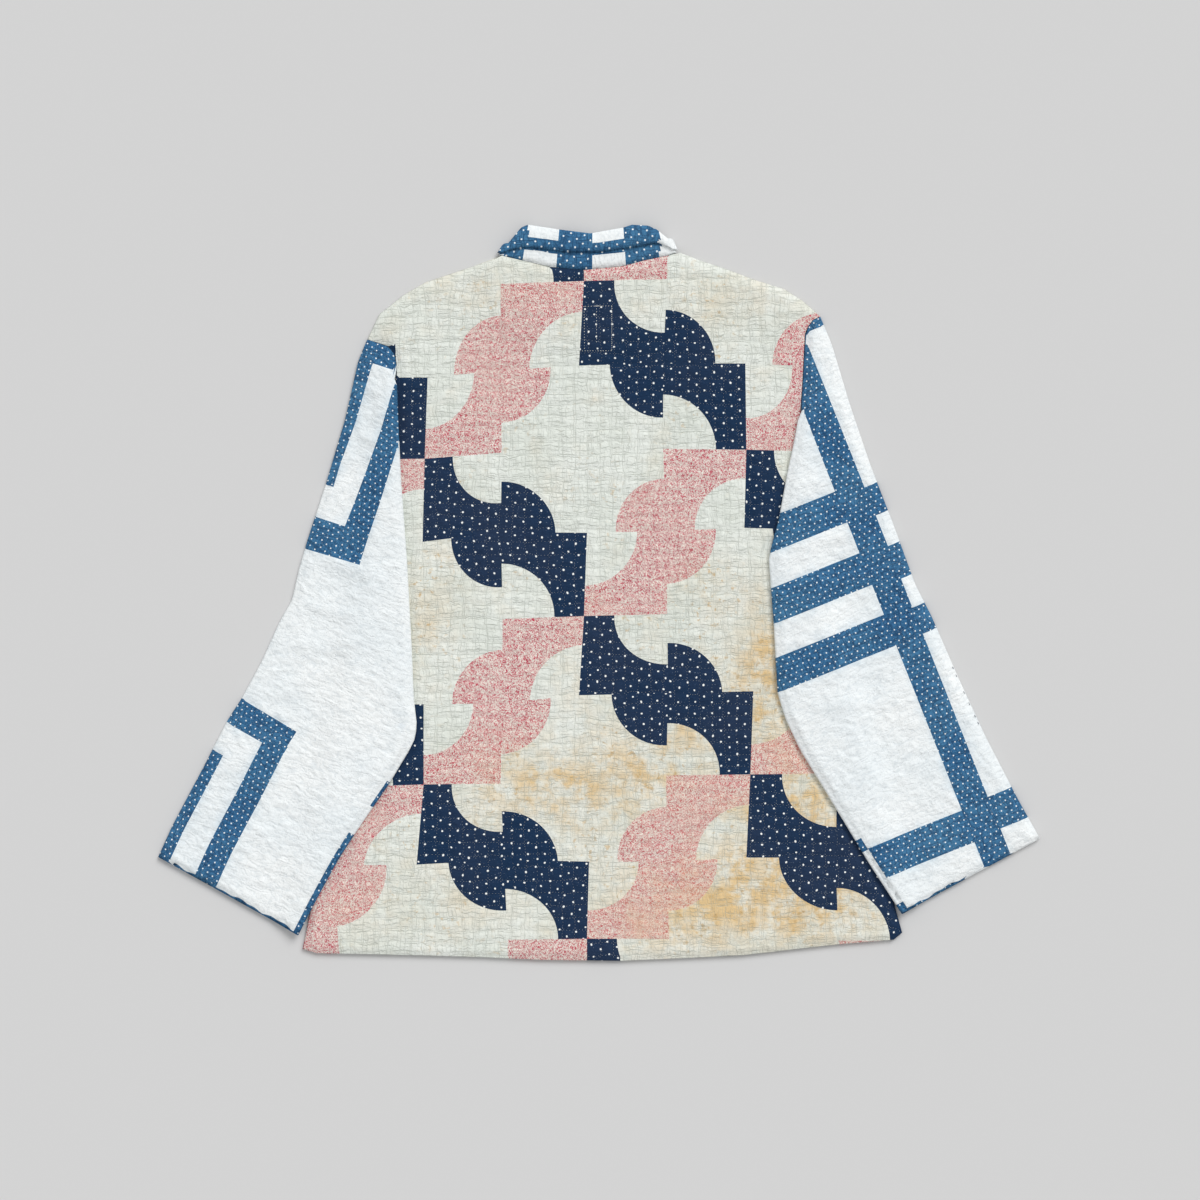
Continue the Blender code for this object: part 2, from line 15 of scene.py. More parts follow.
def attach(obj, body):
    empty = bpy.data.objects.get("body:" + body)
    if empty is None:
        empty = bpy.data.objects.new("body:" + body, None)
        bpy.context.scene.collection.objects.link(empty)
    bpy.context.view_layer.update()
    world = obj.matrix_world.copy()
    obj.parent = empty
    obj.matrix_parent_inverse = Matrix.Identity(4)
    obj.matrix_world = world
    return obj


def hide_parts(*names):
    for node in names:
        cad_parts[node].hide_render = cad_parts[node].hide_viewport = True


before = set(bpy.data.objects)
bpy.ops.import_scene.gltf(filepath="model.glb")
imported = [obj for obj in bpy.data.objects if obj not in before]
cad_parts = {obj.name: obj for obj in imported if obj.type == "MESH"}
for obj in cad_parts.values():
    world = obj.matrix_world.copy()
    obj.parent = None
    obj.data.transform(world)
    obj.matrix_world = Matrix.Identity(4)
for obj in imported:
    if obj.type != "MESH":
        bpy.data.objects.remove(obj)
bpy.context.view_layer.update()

MM = 0.001
MIDDLE = (-1.0, -1.0)
PIXEL = 1.04
SIGHT = (600.0, 592.0)

# Cloth
WALL = 2.5
GAP = 0.3
PUFF = 1.0
PITCH = 13.0
SOFT_EDGE = 0.5
ROUND = 1.0 - math.sqrt(0.5)
BACK_LEVEL = WALL + GAP
SLEEVE_LIFT = BACK_LEVEL + WALL + PUFF + GAP
NECK_RISE = WALL + GAP
EDGE_STEP = 4.0
LATTICE_PARTS = 5

# Outline of the body, read round the edge from the right side of the hem
HEM_RIGHT = (314, -354)
UNDERARM_RIGHT = (203, 49)
SLEEVE_FOLD_RIGHT = (209, 200)
ARM_SEAM_RIGHT = [SLEEVE_FOLD_RIGHT, (210, 210), (212, 249), (213, 268), (216, 275), (221, 282), (229, 286)]
SHOULDER_RIGHT = [(224, 291), (210, 303), (191, 315), (162, 324), (130, 336), (103, 345)]
NECK_SEAM = [(83, 352), (71, 349), (46, 344), (24, 338), (-17, 334), (-52, 337), (-81, 344), (-102, 349),
             (-110, 345)]
SHOULDER_LEFT = [(-133, 338), (-157, 330), (-181, 322), (-205, 308), (-221, 295), (-229, 289)]
ARM_SEAM_LEFT = [(-242, 262), (-220, 255), (-213, 246), (-211, 233)]
SLEEVE_FOLD_LEFT = ARM_SEAM_LEFT[-1]
UNDERARM_LEFT = (-231, 33)
HEM_LEFT = (-309, -371)
HEM = [(-294, -375), (-200, -377), (-125, -379), (-60, -382), (21, -383), (90, -380), (149, -377),
       (245, -366), (305, -361)]

# Sleeves, from the cuff up: the outer fold, the fold that lies on the back, and the seam across the top
LEFT_OUTER = [(-459, -275), (-444, -242), (-411, -180), (-387, -133), (-372, -110), (-351, -71), (-333, -31),
              (-320, -8), (-313, 23), (-304, 54), (-285, 112), (-265, 179), (-251, 241), (-242, 262)]
LEFT_INNER = [(-313, -356), (-293, -317), (-271, -277), (-253, -249), (-218, -198), (-197, -163), (-191, -150),
              (-190, -136), (-193, -110), (-195, -59), (-200, 33), (-206, 114), (-209, 175), SLEEVE_FOLD_LEFT]
RIGHT_OUTER = [(457, -256), (432, -211), (400, -149), (371, -86), (344, -24), (328, 7), (305, 70), (281, 132),
               (260, 194), (241, 257), (229, 286)]
RIGHT_INNER = [(313, -334), (278, -280), (246, -227), (207, -163), (192, -131), (184, -105), (180, -33),
               (177, 6), (175, 34), (178, 49), (185, 74), (194, 123), (201, 155), SLEEVE_FOLD_RIGHT]
LEFT_TOP_POINTS = 4
RIGHT_TOP_POINTS = 3
SLEEVE_ROWS = 66
EASE_ROWS = 22
SLEEVE_COLUMNS = 11
ROW_SPARE = 0.4
FOLD_CORNER = 12.0
CORNER_RISE = 6.0
DRAPE = 38.0
ROLL = WALL + GAP / 2
ROLL_STEPS = 6

# Neck opening of the fronts and the collar band
NECK_MIDDLE = -13.0
NECK_HALF = 90.0
NECK_ENDS = (349.5, 351.8)
NECK_DROP = 73.0
FRONT_GAP = 2.0
NECK_DRAPE = 40.0
NECK_MARGIN = 8.0
COLLAR_FOLD = [(-95, 362), (-82, 378), (-75, 381), (-42, 376), (-10, 372), (24, 378), (33, 381), (50, 380),
               (59, 376), (70, 367)]
COLLAR_FALL_EDGE = [(-103, 352), (-97, 355), (-81, 358), (-59, 356), (-37, 353), (-1, 353), (21, 356),
                    (43, 359), (58, 362), (64, 362), (74, 358), (77, 356)]
FALL_DEPTH = 21.0
STAND_DRAPE = 14.0
COLLAR_STATIONS = 72
LEDGE_DROP = 2.2

# Patchwork of the body: units of a Drunkard's Path, in blocks of two by two
UNIT = (84.3, 84.6)
UNIT_START = (-183.0, 147.7)
PIE = 0.635
CREAM, NAVY, PINK = 0, 1, 2
WHITE, BLUE = 0, 1


def smooth(value):
    """Eases from 0 to 1 as the value does."""
    t = np.clip(value, 0.0, 1.0)
    return t * t * (3.0 - 2.0 * t)


def blend(a, b, t):
    """The point a share t of the way from a to b."""
    return tuple(p + (q - p) * t for p, q in zip(a, b))


def run_length(line):
    """Length of a line of points."""
    return sum(math.dist(a, b) for a, b in zip(line, line[1:]))


def at_length(line, length):
    """The point at a length along a line of points."""
    for a, b in zip(line, line[1:]):
        step = math.dist(a, b)
        if length <= step:
            return blend(a, b, max(0.0, length) / step)
        length -= step
    return tuple(line[-1])


def at_x(line, x):
    """Height of a line of points that runs across, at one place across."""
    ordered = sorted(line)
    for a, b in zip(ordered, ordered[1:]):
        if x <= b[0]:
            return a[1] + (b[1] - a[1]) * (max(x, a[0]) - a[0]) / (b[0] - a[0])
    return ordered[-1][1]


def split(line, step):
    """A line of points with more put between them, no further apart than the step."""
    out = []
    for a, b in zip(line, line[1:]):
        parts = max(1, math.ceil(math.dist(a, b) / step))
        out += [blend(a, b, i / parts) for i in range(parts)]
    return out + [tuple(line[-1])]


def inside(points, outline):
    """Which of many points lie within a closed outline."""
    points = np.atleast_2d(np.asarray(points, float))
    x, y = points[:, 0], points[:, 1]
    found = np.zeros(len(points), bool)
    for a, b in zip(outline, list(outline[1:]) + [outline[0]]):
        if a[1] == b[1]:
            continue
        spans = (a[1] > y) != (b[1] > y)
        found ^= spans & (x < a[0] + (b[0] - a[0]) * (y - a[1]) / (b[1] - a[1]))
    return found


def distance(points, line):
    """How far each of many points lies from a line of points."""
    points = np.atleast_2d(np.asarray(points, float))[:, :2]
    best = np.full(len(points), np.inf)
    for a, b in zip(line, line[1:]):
        run = np.subtract(b[:2], a[:2])
        size = float(run @ run)
        if size == 0.0:
            continue
        share = np.clip((points - a[:2]) @ run / size, 0.0, 1.0)
        away = points - a[:2] - share[:, None] * run
        best = np.minimum(best, np.hypot(away[:, 0], away[:, 1]))
    return best


def inset(outline, depths):
    """Moves each point of an anticlockwise outline inward by its own depth."""
    moved = []
    count = len(outline)
    for i, p in enumerate(outline):
        before = Vector(p) - Vector(outline[i - 1])
        after = Vector(outline[(i + 1) % count]) - Vector(p)
        normal = Vector((-before.y, before.x)).normalized() + Vector((-after.y, after.x)).normalized()
        normal.normalize()
        reach = depths[i] / max(0.7, normal.dot(Vector((-after.y, after.x)).normalized()))
        moved.append((p[0] + normal.x * reach, p[1] + normal.y * reach))
    return moved


def swell(points, size, seed=0.0):
    """Smooth noise between -1 and 1 whose bumps have the given size."""
    return np.array([noise.noise((x / size, y / size, seed)) for x, y in np.asarray(points)[:, :2]])


# Quilting: lines that wander a little from a square grid

def wander(points, seed):
    """How far the hand quilting strays from its even grid."""
    across = 3.0 * swell(points, 38.0, seed) + 2.2 * swell(points, 14.0, seed + 3.0)
    along = 3.0 * swell(points, 38.0, seed + 7.0) + 2.2 * swell(points, 14.0, seed + 11.0)
    return np.stack([across, along], axis=1)


class Quilting:
    """A square grid of hand quilting with a heading."""

    def __init__(self, heading, seed, pitch=PITCH):
        self.axes = np.array([[math.cos(heading), math.sin(heading)], [-math.sin(heading), math.cos(heading)]])
        self.seed = seed
        self.pitch = pitch

    def points(self, places):
        """Points on the cloth of places counted in stitch lines."""
        even = np.asarray(places, float) * self.pitch @ self.axes
        return even + wander(even, self.seed)

    def places(self, points):
        """Places counted in stitch lines of points on the cloth."""
        points = np.asarray(points, float)[:, :2]
        even = points
        for _ in range(6):
            even = points - wander(even, self.seed)
        return even @ self.axes.T / self.pitch

    def pillows(self, points):
        """Height of the padding between the stitch lines, 0 on a line and 1 between."""
        places = self.places(points)
        across = np.abs(np.sin(math.pi * places))
        return (across[:, 0] * across[:, 1]) ** 0.6 * (0.85 + 0.6 * swell(points, 17.0, self.seed + 15.0))

    def lattice(self, outline, margin):
        """Points on and between the stitch lines that lie within an outline by a margin."""
        reach = math.ceil(max(math.hypot(*p[:2]) for p in outline) / self.pitch) + 1
        steps = np.arange(-reach * LATTICE_PARTS, reach * LATTICE_PARTS + 1) / LATTICE_PARTS
        grid = np.stack(np.meshgrid(steps, steps), axis=-1).reshape(-1, 2)
        low, high = np.min(np.array(outline)[:, :2], axis=0), np.max(np.array(outline)[:, :2], axis=0)
        even = grid * self.pitch @ self.axes
        near = np.all((even > low - self.pitch) & (even < high + self.pitch), axis=1)
        points = self.points(grid[near])
        closed = list(outline) + [outline[0]]
        points = points[inside(points, outline)]
        return points[distance(points, closed) > margin]


# Creases, each from one point to another, with its half width and its height

def fold_lines(points, creases):
    """Height that soft creases add, each fading out at both ends."""
    total = np.zeros(len(points))
    flat = np.asarray(points, float)[:, :2]
    for start, end, width, height in creases:
        run = np.subtract(end, start)
        size = float(np.hypot(*run))
        along = (flat - start) @ run / size
        across = (flat - start) @ np.array([-run[1], run[0]]) / size
        ends = smooth(along / (size * 0.35)) * smooth((size - along) / (size * 0.35))
        total += height * ends * np.exp(-((across / width) ** 2))
    return total


BACK_CREASES = [
    ((-213, 306), (-210, 240), 5, 1.6),
    ((-222, 298), (-224, 262), 4, 1.2),
    ((-196, 300), (-186, 240), 8, 0.9),
    ((203, 316), (216, 284), 4, 1.4),
    ((190, 312), (196, 262), 7, 0.9),
    ((-80, 330), (-98, 250), 9, 0.8),
    ((72, 332), (96, 262), 9, 0.8),
    ((-150, 60), (-60, 20), 12, 0.7),
    ((60, -120), (150, -90), 14, 0.7),
    ((-160, -250), (-60, -220), 14, 0.8),
    ((40, -300), (190, -270), 16, 0.8),
    ((-20, 200), (20, 80), 16, 0.6),
]
LEFT_CREASES = [
    ((-300, 40), (-215, 10), 8, 1.8),
    ((-318, -10), (-235, -30), 7, 1.6),
    ((-330, -60), (-240, -50), 9, 1.4),
    ((-290, 70), (-225, 60), 7, 1.2),
    ((-352, -110), (-270, -80), 9, 1.2),
    ((-395, -190), (-300, -140), 11, 1.0),
    ((-420, -230), (-320, -260), 12, 0.9),
    ((-262, 170), (-215, 150), 8, 1.1),
    ((-252, 220), (-222, 200), 7, 1.1),
]
RIGHT_CREASES = [
    ((186, 40), (290, 70), 8, 1.7),
    ((182, 0), (300, 20), 8, 1.5),
    ((190, -60), (320, -30), 10, 1.4),
    ((200, 110), (275, 120), 7, 1.2),
    ((200, -120), (330, -110), 10, 1.2),
    ((260, -210), (380, -170), 12, 1.0),
    ((300, -280), (410, -230), 12, 0.9),
    ((214, 230), (244, 200), 7, 1.1),
]


# The body's edges

def body_outline(step):
    """The back's edge, anticlockwise, with a mark on each point that lies on a turned side or shoulder."""
    runs = [
        ([HEM_RIGHT, UNDERARM_RIGHT], True),
        ([UNDERARM_RIGHT] + ARM_SEAM_RIGHT, False),
        ([ARM_SEAM_RIGHT[-1]] + SHOULDER_RIGHT, True),
        (NECK_SEAM, False),
        (SHOULDER_LEFT + [ARM_SEAM_LEFT[0]], True),
        (ARM_SEAM_LEFT + [UNDERARM_LEFT], False),
        ([UNDERARM_LEFT, HEM_LEFT], True),
        (HEM, False),
    ]
    return join_runs(runs, step)


def join_runs(runs, step):
    """One closed outline from stretches of edge that meet or follow each other."""
    outline = []
    turned = []
    for line, mark in runs:
        for p in split(line, step):
            if outline and math.dist(p, outline[-1]) < GAP:
                continue
            outline.append(p)
            turned.append(mark)
    if math.dist(outline[0], outline[-1]) < GAP:
        outline.pop()
        turned.pop()
    return outline, turned


def clear_of_sleeves(outline):
    """Draws the armhole edges in by the gap that parts them from the sleeves."""
    seams = [[UNDERARM_RIGHT] + ARM_SEAM_RIGHT, ARM_SEAM_LEFT + [UNDERARM_LEFT]]
    near = np.minimum(*(distance(outline, seam) for seam in seams)) < GAP
    return inset(outline, np.where(near, GAP, 0.0))


def neck_arc(inward, steps):
    """The neck opening of the fronts, from its left end round the bottom to its right end."""
    arc = []
    for i in range(steps + 1):
        turn = math.pi * (1.0 - i / steps)
        end = NECK_ENDS[0] + (NECK_ENDS[1] - NECK_ENDS[0]) * i / steps
        across = NECK_MIDDLE + (NECK_HALF - inward) * math.cos(turn)
        arc.append((across, end - NECK_DROP * math.sin(turn)))
    return arc


NECK_ARC = neck_arc(0.0, 18)
ABOVE_NECK = 400.0


def neck_rise(points):
    """How much the back is lifted by the front of the collar, which lies under it."""
    within = inside(points, NECK_ARC + [(NECK_ARC[-1][0], ABOVE_NECK), (NECK_ARC[0][0], ABOVE_NECK)])
    beside = NECK_RISE * (1.0 - smooth((distance(points, NECK_ARC) - NECK_MARGIN) / NECK_DRAPE))
    return np.where(within, NECK_RISE, beside)


# Patchwork

# For each kind of block, the four units from the lower left: the fabric round the pie, the pie's
# fabric and the corner that the pie fills
PINK_BLOCK = [[(PINK, CREAM, (0, 1)), (CREAM, PINK, (0, 1))], [(CREAM, PINK, (1, 0)), (PINK, CREAM, (1, 0))]]
NAVY_BLOCK = [[(CREAM, NAVY, (1, 1)), (NAVY, CREAM, (0, 0))], [(NAVY, CREAM, (1, 1)), (CREAM, NAVY, (0, 0))]]
BLOCKS = np.array([[[(u[0], u[1], *u[2]) for u in row] for row in block] for block in (PINK_BLOCK, NAVY_BLOCK)])


# Corners at which the units meet, as seen in the photograph: rows down the back, each from left to right
UNIT_CORNERS = [
    [(343, 290), (423, 288), (501, 285), (584, 282), (667, 280), (746, 281), (822, 284)],
    [(346, 378), (428, 378), (501, 371), (579, 366), (663, 364), (745, 364), (819, 367)],
    [(344, 460), (425, 459), (502, 453), (583, 451), (663, 449), (746, 450), (822, 452)],
    [(342, 543), (423, 542), (501, 532), (587, 533), (666, 531), (744, 528), (822, 530)],
    [(342, 625), (423, 623), (503, 619), (584, 616), (667, 614), (748, 611), (827, 611)],
    [(342, 706), (424, 704), (502, 703), (579, 695), (668, 693), (753, 691), (834, 692)],
    [(340, 787), (424, 784), (501, 783), (583, 779), (666, 775), (750, 774), (837, 773)],
    [(334, 865), (417, 864), (504, 859), (589, 861), (667, 861), (746, 857), (835, 857)],
    [(340, 960), (423, 945), (508, 939), (587, 938), (669, 938), (748, 939), (838, 940)],
]
FIRST_CORNER = (-1, -6)


def corner_shifts():
    """How far each corner lies from the even grid, in millimetres, counted up from the lowest row."""
    seen = np.array(UNIT_CORNERS[::-1], float)
    places = np.stack(np.meshgrid(np.arange(seen.shape[1]), np.arange(seen.shape[0])), axis=-1) + FIRST_CORNER
    return PIXEL * (seen - SIGHT) * (1.0, -1.0) - (np.array(UNIT_START) + places * UNIT)


CORNER_SHIFTS = corner_shifts()


def patch_wobble(places):
    """How far the hand piecing strays from an even grid, in millimetres."""
    last = np.array(CORNER_SHIFTS.shape[1::-1]) - 1
    place = np.clip(places - FIRST_CORNER, 0.0, last)
    cell = np.minimum(np.floor(place).astype(int), last - 1)
    u, v = cell.T
    right, up = (place - cell).T[:, :, None]
    low = CORNER_SHIFTS[v, u] * (1.0 - right) + CORNER_SHIFTS[v, u + 1] * right
    high = CORNER_SHIFTS[v + 1, u] * (1.0 - right) + CORNER_SHIFTS[v + 1, u + 1] * right
    return low * (1.0 - up) + high * up


def patch_points(places):
    """Points on the cloth of places counted in patchwork units."""
    places = np.asarray(places, float)
    return np.array(UNIT_START) + places * UNIT + patch_wobble(places)


def patch_places(points):
    """Places counted in patchwork units of points on the cloth."""
    flat = (np.asarray(points, float)[:, :2] - UNIT_START) / UNIT
    places = flat
    for _ in range(5):
        places = flat - patch_wobble(places) / UNIT
    return places


def unit_at(places):
    """For places in patchwork units: the unit's entry in BLOCKS and the distance from its pie's corner."""
    cell = np.floor(places).astype(int)
    kind = np.floor_divide(cell, 2).sum(axis=1) % 2
    unit = BLOCKS[kind, cell[:, 1] % 2, cell[:, 0] % 2]
    corner = cell + unit[:, 2:]
    reach = np.hypot(*(places - corner).T)
    return cell, unit, reach


# Cream patch between the left shoulder and the sleeve, and the navy corner set into it
CAP_PATCH = [(-260.0, 225.0), (-211.0, 225.0), (-212.3, 257.2), (-213.0, 300.0), (-260.0, 300.0)]
CAP_CORNER = [(-260.0, 225.0), (-211.0, 225.0), (-212.3, 257.2), (-220.2, 255.1), (-232.0, 247.0)]


def body_fabric(points):
    """Fabric and patch number at points of the body."""
    cell, unit, reach = unit_at(patch_places(points))
    pie = reach < PIE
    fabric = np.where(pie, unit[:, 1], unit[:, 0])
    number = (cell[:, 0] * 37 + cell[:, 1] * 101) * 2 + pie
    at_cap = inside(points, CAP_PATCH)
    fabric = np.where(at_cap, np.where(inside(points, CAP_CORNER), NAVY, CREAM), fabric)
    return fabric, np.where(at_cap, 7, number)


def body_seams(points):
    """Distance from the nearest seam of the patchwork, in millimetres."""
    places = patch_places(points)
    _, _, reach = unit_at(places)
    straight = np.abs(places - np.round(places)).min(axis=1)
    return np.minimum(straight, np.abs(reach - PIE)) * UNIT[0]


def body_seam_lines(outline):
    """The patchwork's seams as lines of points, only where both ends of a step lie within the outline."""
    low, high = patch_places([np.min(outline, axis=0), np.max(outline, axis=0)])
    low, high = np.floor(low).astype(int) - 1, np.ceil(high).astype(int) + 1
    parts = 26
    lines = []
    for u in range(low[0], high[0]):
        for v in range(low[1], high[1]):
            share = np.linspace(0.0, 1.0, parts + 1)
            lines.append(np.stack([u + share, np.full(parts + 1, v)], axis=1))
            lines.append(np.stack([np.full(parts + 1, u), v + share], axis=1))
            _, unit, _ = unit_at(np.array([[u + 0.5, v + 0.5]]))
            corner = unit[0, 2:]
            turn = share * math.pi / 2
            arc = np.stack([np.abs(corner[0] - PIE * np.cos(turn)), np.abs(corner[1] - PIE * np.sin(turn))], axis=1)
            lines.append(arc + (u, v))
    cap_lines = [np.array(split(line, EDGE_STEP)) for line in (CAP_PATCH[1:4], CAP_CORNER[1:])]
    return [patch_points(line) for line in lines] + cap_lines


# Strips on the sleeves, as closed outlines

def beside(line, start, end, near, far, steps=12):
    """A strip beside a line of points: between two lengths along it and two depths to its right."""
    near_side = []
    far_side = []
    spare = 60.0
    first = blend(line[0], line[1], -spare / math.dist(line[0], line[1]))
    last = blend(line[-1], line[-2], -spare / math.dist(line[-1], line[-2]))
    longer = [first] + list(line) + [last]
    for i in range(steps + 1):
        s = start + (end - start) * i / steps
        before = at_length(longer, s + spare - 12.0)
        after = at_length(longer, s + spare + 12.0)
        size = math.dist(before, after)
        right = ((after[1] - before[1]) / size, (before[0] - after[0]) / size)
        p = at_length(longer, s + spare)
        near_here = near if not callable(near) else near(s)
        far_here = far if not callable(far) else far(s)
        near_side.append((p[0] + right[0] * near_here, p[1] + right[1] * near_here))
        far_side.append((p[0] + right[0] * far_here, p[1] + right[1] * far_here))
    return near_side + far_side[::-1]


def left_strips():
    """Blue strips of the left sleeve."""
    edge = LEFT_OUTER
    out = -8.0
    return [
        beside(edge, -20, 125, out, 13),
        beside(edge, 157, 186, out, 67),
        beside(edge, -20, 170, 43, 68),
        beside(edge, 356, 391, out, 60),
        beside(edge, 426, 582, out, lambda s: 9.0 + max(0.0, s - 450.0) * 0.06, 24),
        beside(edge, 561, 600, out, 60),
        beside(edge, 370, 582, lambda s: 33 + (s - 391) * 0.065, lambda s: 60 + (s - 391) * 0.012, 24),
        split([(-222.6, 238.7), (-215.5, 235.6), (-211.2, 229.8), (-207.0, 227.8), (-207.0, 249.6),
               (-220.5, 251.7)], 6.0),
    ]


def cuff_depth(s):
    """How far the lower layer's hem shows past the upper layer's uneven edge, along the cuff."""
    return 2.6 + 0.8 * math.sin(s / 7.0) + 0.6 * math.sin(s / 2.9)


def left_ledges():
    """Lower layer beside the left sleeve's fold, from the cuff up, and its hem along the cuff."""
    return [
        (beside(LEFT_INNER, -6, 119, -6.0, 8.0, 16), BLUE),
        (beside(LEFT_INNER, 119, 154, -5.0, 8.0), WHITE),
        (beside(LEFT_INNER, 154, 185, -3.5, 8.0), BLUE),
        (beside([LEFT_OUTER[0], LEFT_INNER[0]], 18, 172, lambda s: -cuff_depth(s), 6.0, 60), BLUE),
    ]


def right_ledges():
    """Lower layer beside the right sleeve's fold, from the cuff up, and its hem along the cuff."""
    return [
        (beside(RIGHT_INNER, -8, 11, -8.0, 8.0), BLUE),
        (beside(RIGHT_INNER, 11, 76, -8.0, 7.0, 10), WHITE),
        (beside(RIGHT_INNER, 76, 90, -8.0, 6.5), BLUE),
        (beside(RIGHT_INNER, 90, 170, -8.0, 5.0, 12), WHITE),
        (beside([RIGHT_INNER[0], RIGHT_OUTER[0]], -4, 78, lambda s: -cuff_depth(s), 6.0, 40), BLUE),
    ]


RIGHT_START = (208.0, 199.7)
RIGHT_AXES = np.array([[0.93, 0.37], [0.37, -0.93]])


def right_place(p, q):
    """A point of the right sleeve from a place across and down its blue strip, in pixels of the photograph."""
    return tuple(np.array(RIGHT_START) + PIXEL * (p * RIGHT_AXES[0] + q * RIGHT_AXES[1]))


def band(p0, p1, q0, q1, q2=None, q3=None):
    """A four-cornered strip on the right sleeve; its far end may have its own limits."""
    q2 = q1 if q2 is None else q2
    q3 = q0 if q3 is None else q3
    return split([right_place(p0, q0), right_place(p1, q3), right_place(p1, q2), right_place(p0, q1)], 30.0)


def right_strips():
    """Blue strips of the right sleeve."""
    strips = [band(-2, 27, -90, 600)]
    for q0, q1 in ((98, 131), (164, 198), (230, 263), (440, 474)):
        strips.append(band(-160, 0, q0, q1))
    for q0, q1 in ((105, 135), (168, 203), (234, 262), (437, 471)):
        strips.append(band(25, 160, q0, q1))
    strips.append(band(-160, 160, -120, -60))
    return strips


class Strips:
    """Blue strips on white: which fabric lies where, and the seams between.

    A ledge is a stretch of the lower layer that shows beside the fold, with its own fabric.
    """

    def __init__(self, outlines, ledges):
        self.outlines = outlines
        self.ledges = ledges

    def fabric(self, points):
        blue = np.zeros(len(points), bool)
        number = np.zeros(len(points), int)
        for i, outline in enumerate(self.outlines):
            here = inside(points, outline)
            number[here] = i + 1
            blue |= here
        for i, (outline, fabric) in enumerate(self.ledges):
            here = inside(points, outline)
            number[here] = 50 + i
            blue[here] = fabric == BLUE
        return np.where(blue, BLUE, WHITE), number

    def changes(self, line):
        """Shares of the way along a line of points at which the fabric changes."""
        length = run_length(line)
        shares = np.linspace(0.0, 1.0, 1201)
        fabric, _ = self.fabric([at_length(line, s * length) for s in shares])
        return [float(s) for s in shares[1:][fabric[1:] != fabric[:-1]]]

    def lines(self):
        """Seam lines as points at short steps."""
        outlines = self.outlines + [outline for outline, _ in self.ledges]
        return [np.array(split(list(o) + [o[0]], 2.6)) for o in outlines]

    def seams(self, points):
        """Distance from the nearest seam."""
        found = np.full(len(points), np.inf)
        for outline in self.outlines + [outline for outline, _ in self.ledges]:
            found = np.minimum(found, distance(points, list(outline) + [outline[0]]))
        return found

    def bleed(self, points):
        """How much blue dye has run into the cloth: 1 at a blue strip, fading out beside it."""
        found = np.full(len(points), np.inf)
        for outline in self.outlines:
            found = np.minimum(found, distance(points, list(outline) + [outline[0]]))
        return np.exp(-found / 5.0)

    def step_down(self, points):
        """How far the ledges lie below the layer above."""
        down = np.zeros(len(points))
        for outline, _ in self.ledges:
            depth = distance(points, list(outline) + [outline[0]])
            down = np.maximum(down, np.where(inside(points, outline), smooth(depth / 1.2), 0.0))
        return down


# Stains of the body: the middle, the half width and height, and the strength
STAINS = [
    ((92, -128), (62, 42), 0.95), ((40, -190), (60, 34), 0.55), ((200, -110), (44, 60), 0.6),
    ((226, -250), (66, 70), 1.0), ((140, -310), (90, 36), 0.85), ((60, -350), (80, 26), 0.6),
    ((-70, -190), (70, 34), 0.55), ((-120, -300), (60, 44), 0.4), ((-20, -90), (30, 40), 0.35),
    ((-190, -40), (34, 50), 0.4), ((-160, 40), (30, 60), 0.25), ((110, 10), (40, 26), 0.4),
    ((-20, -12), (30, 22), 0.3), ((130, 300), (90, 30), 0.3), ((-110, 318), (90, 26), 0.3),
    ((200, 60), (24, 70), 0.45), ((170, -30), (40, 40), 0.35), ((-250, -330), (50, 30), 0.35),
    ((166, -90), (26, 50), 0.8), ((240, -330), (70, 34), 0.6), ((160, -225), (40, 24), 0.6),
    ((-30, -215), (120, 50), 0.5), ((130, -315), (120, 52), 0.55), ((215, -190), (50, 90), 0.45),
]


def body_stain(points):
    """How stained the body's cloth is."""
    total = np.zeros(len(points))
    for middle, size, strength in STAINS:
        away = (np.asarray(points)[:, :2] - middle) / size
        total += strength * np.exp(-(away ** 2).sum(axis=1))
    rough = 0.75 + 0.5 * swell(points, 26.0, 61.0) + 0.35 * swell(points, 9.0, 63.0)
    return np.clip(total * rough, 0.0, 1.0)


# Thin shells

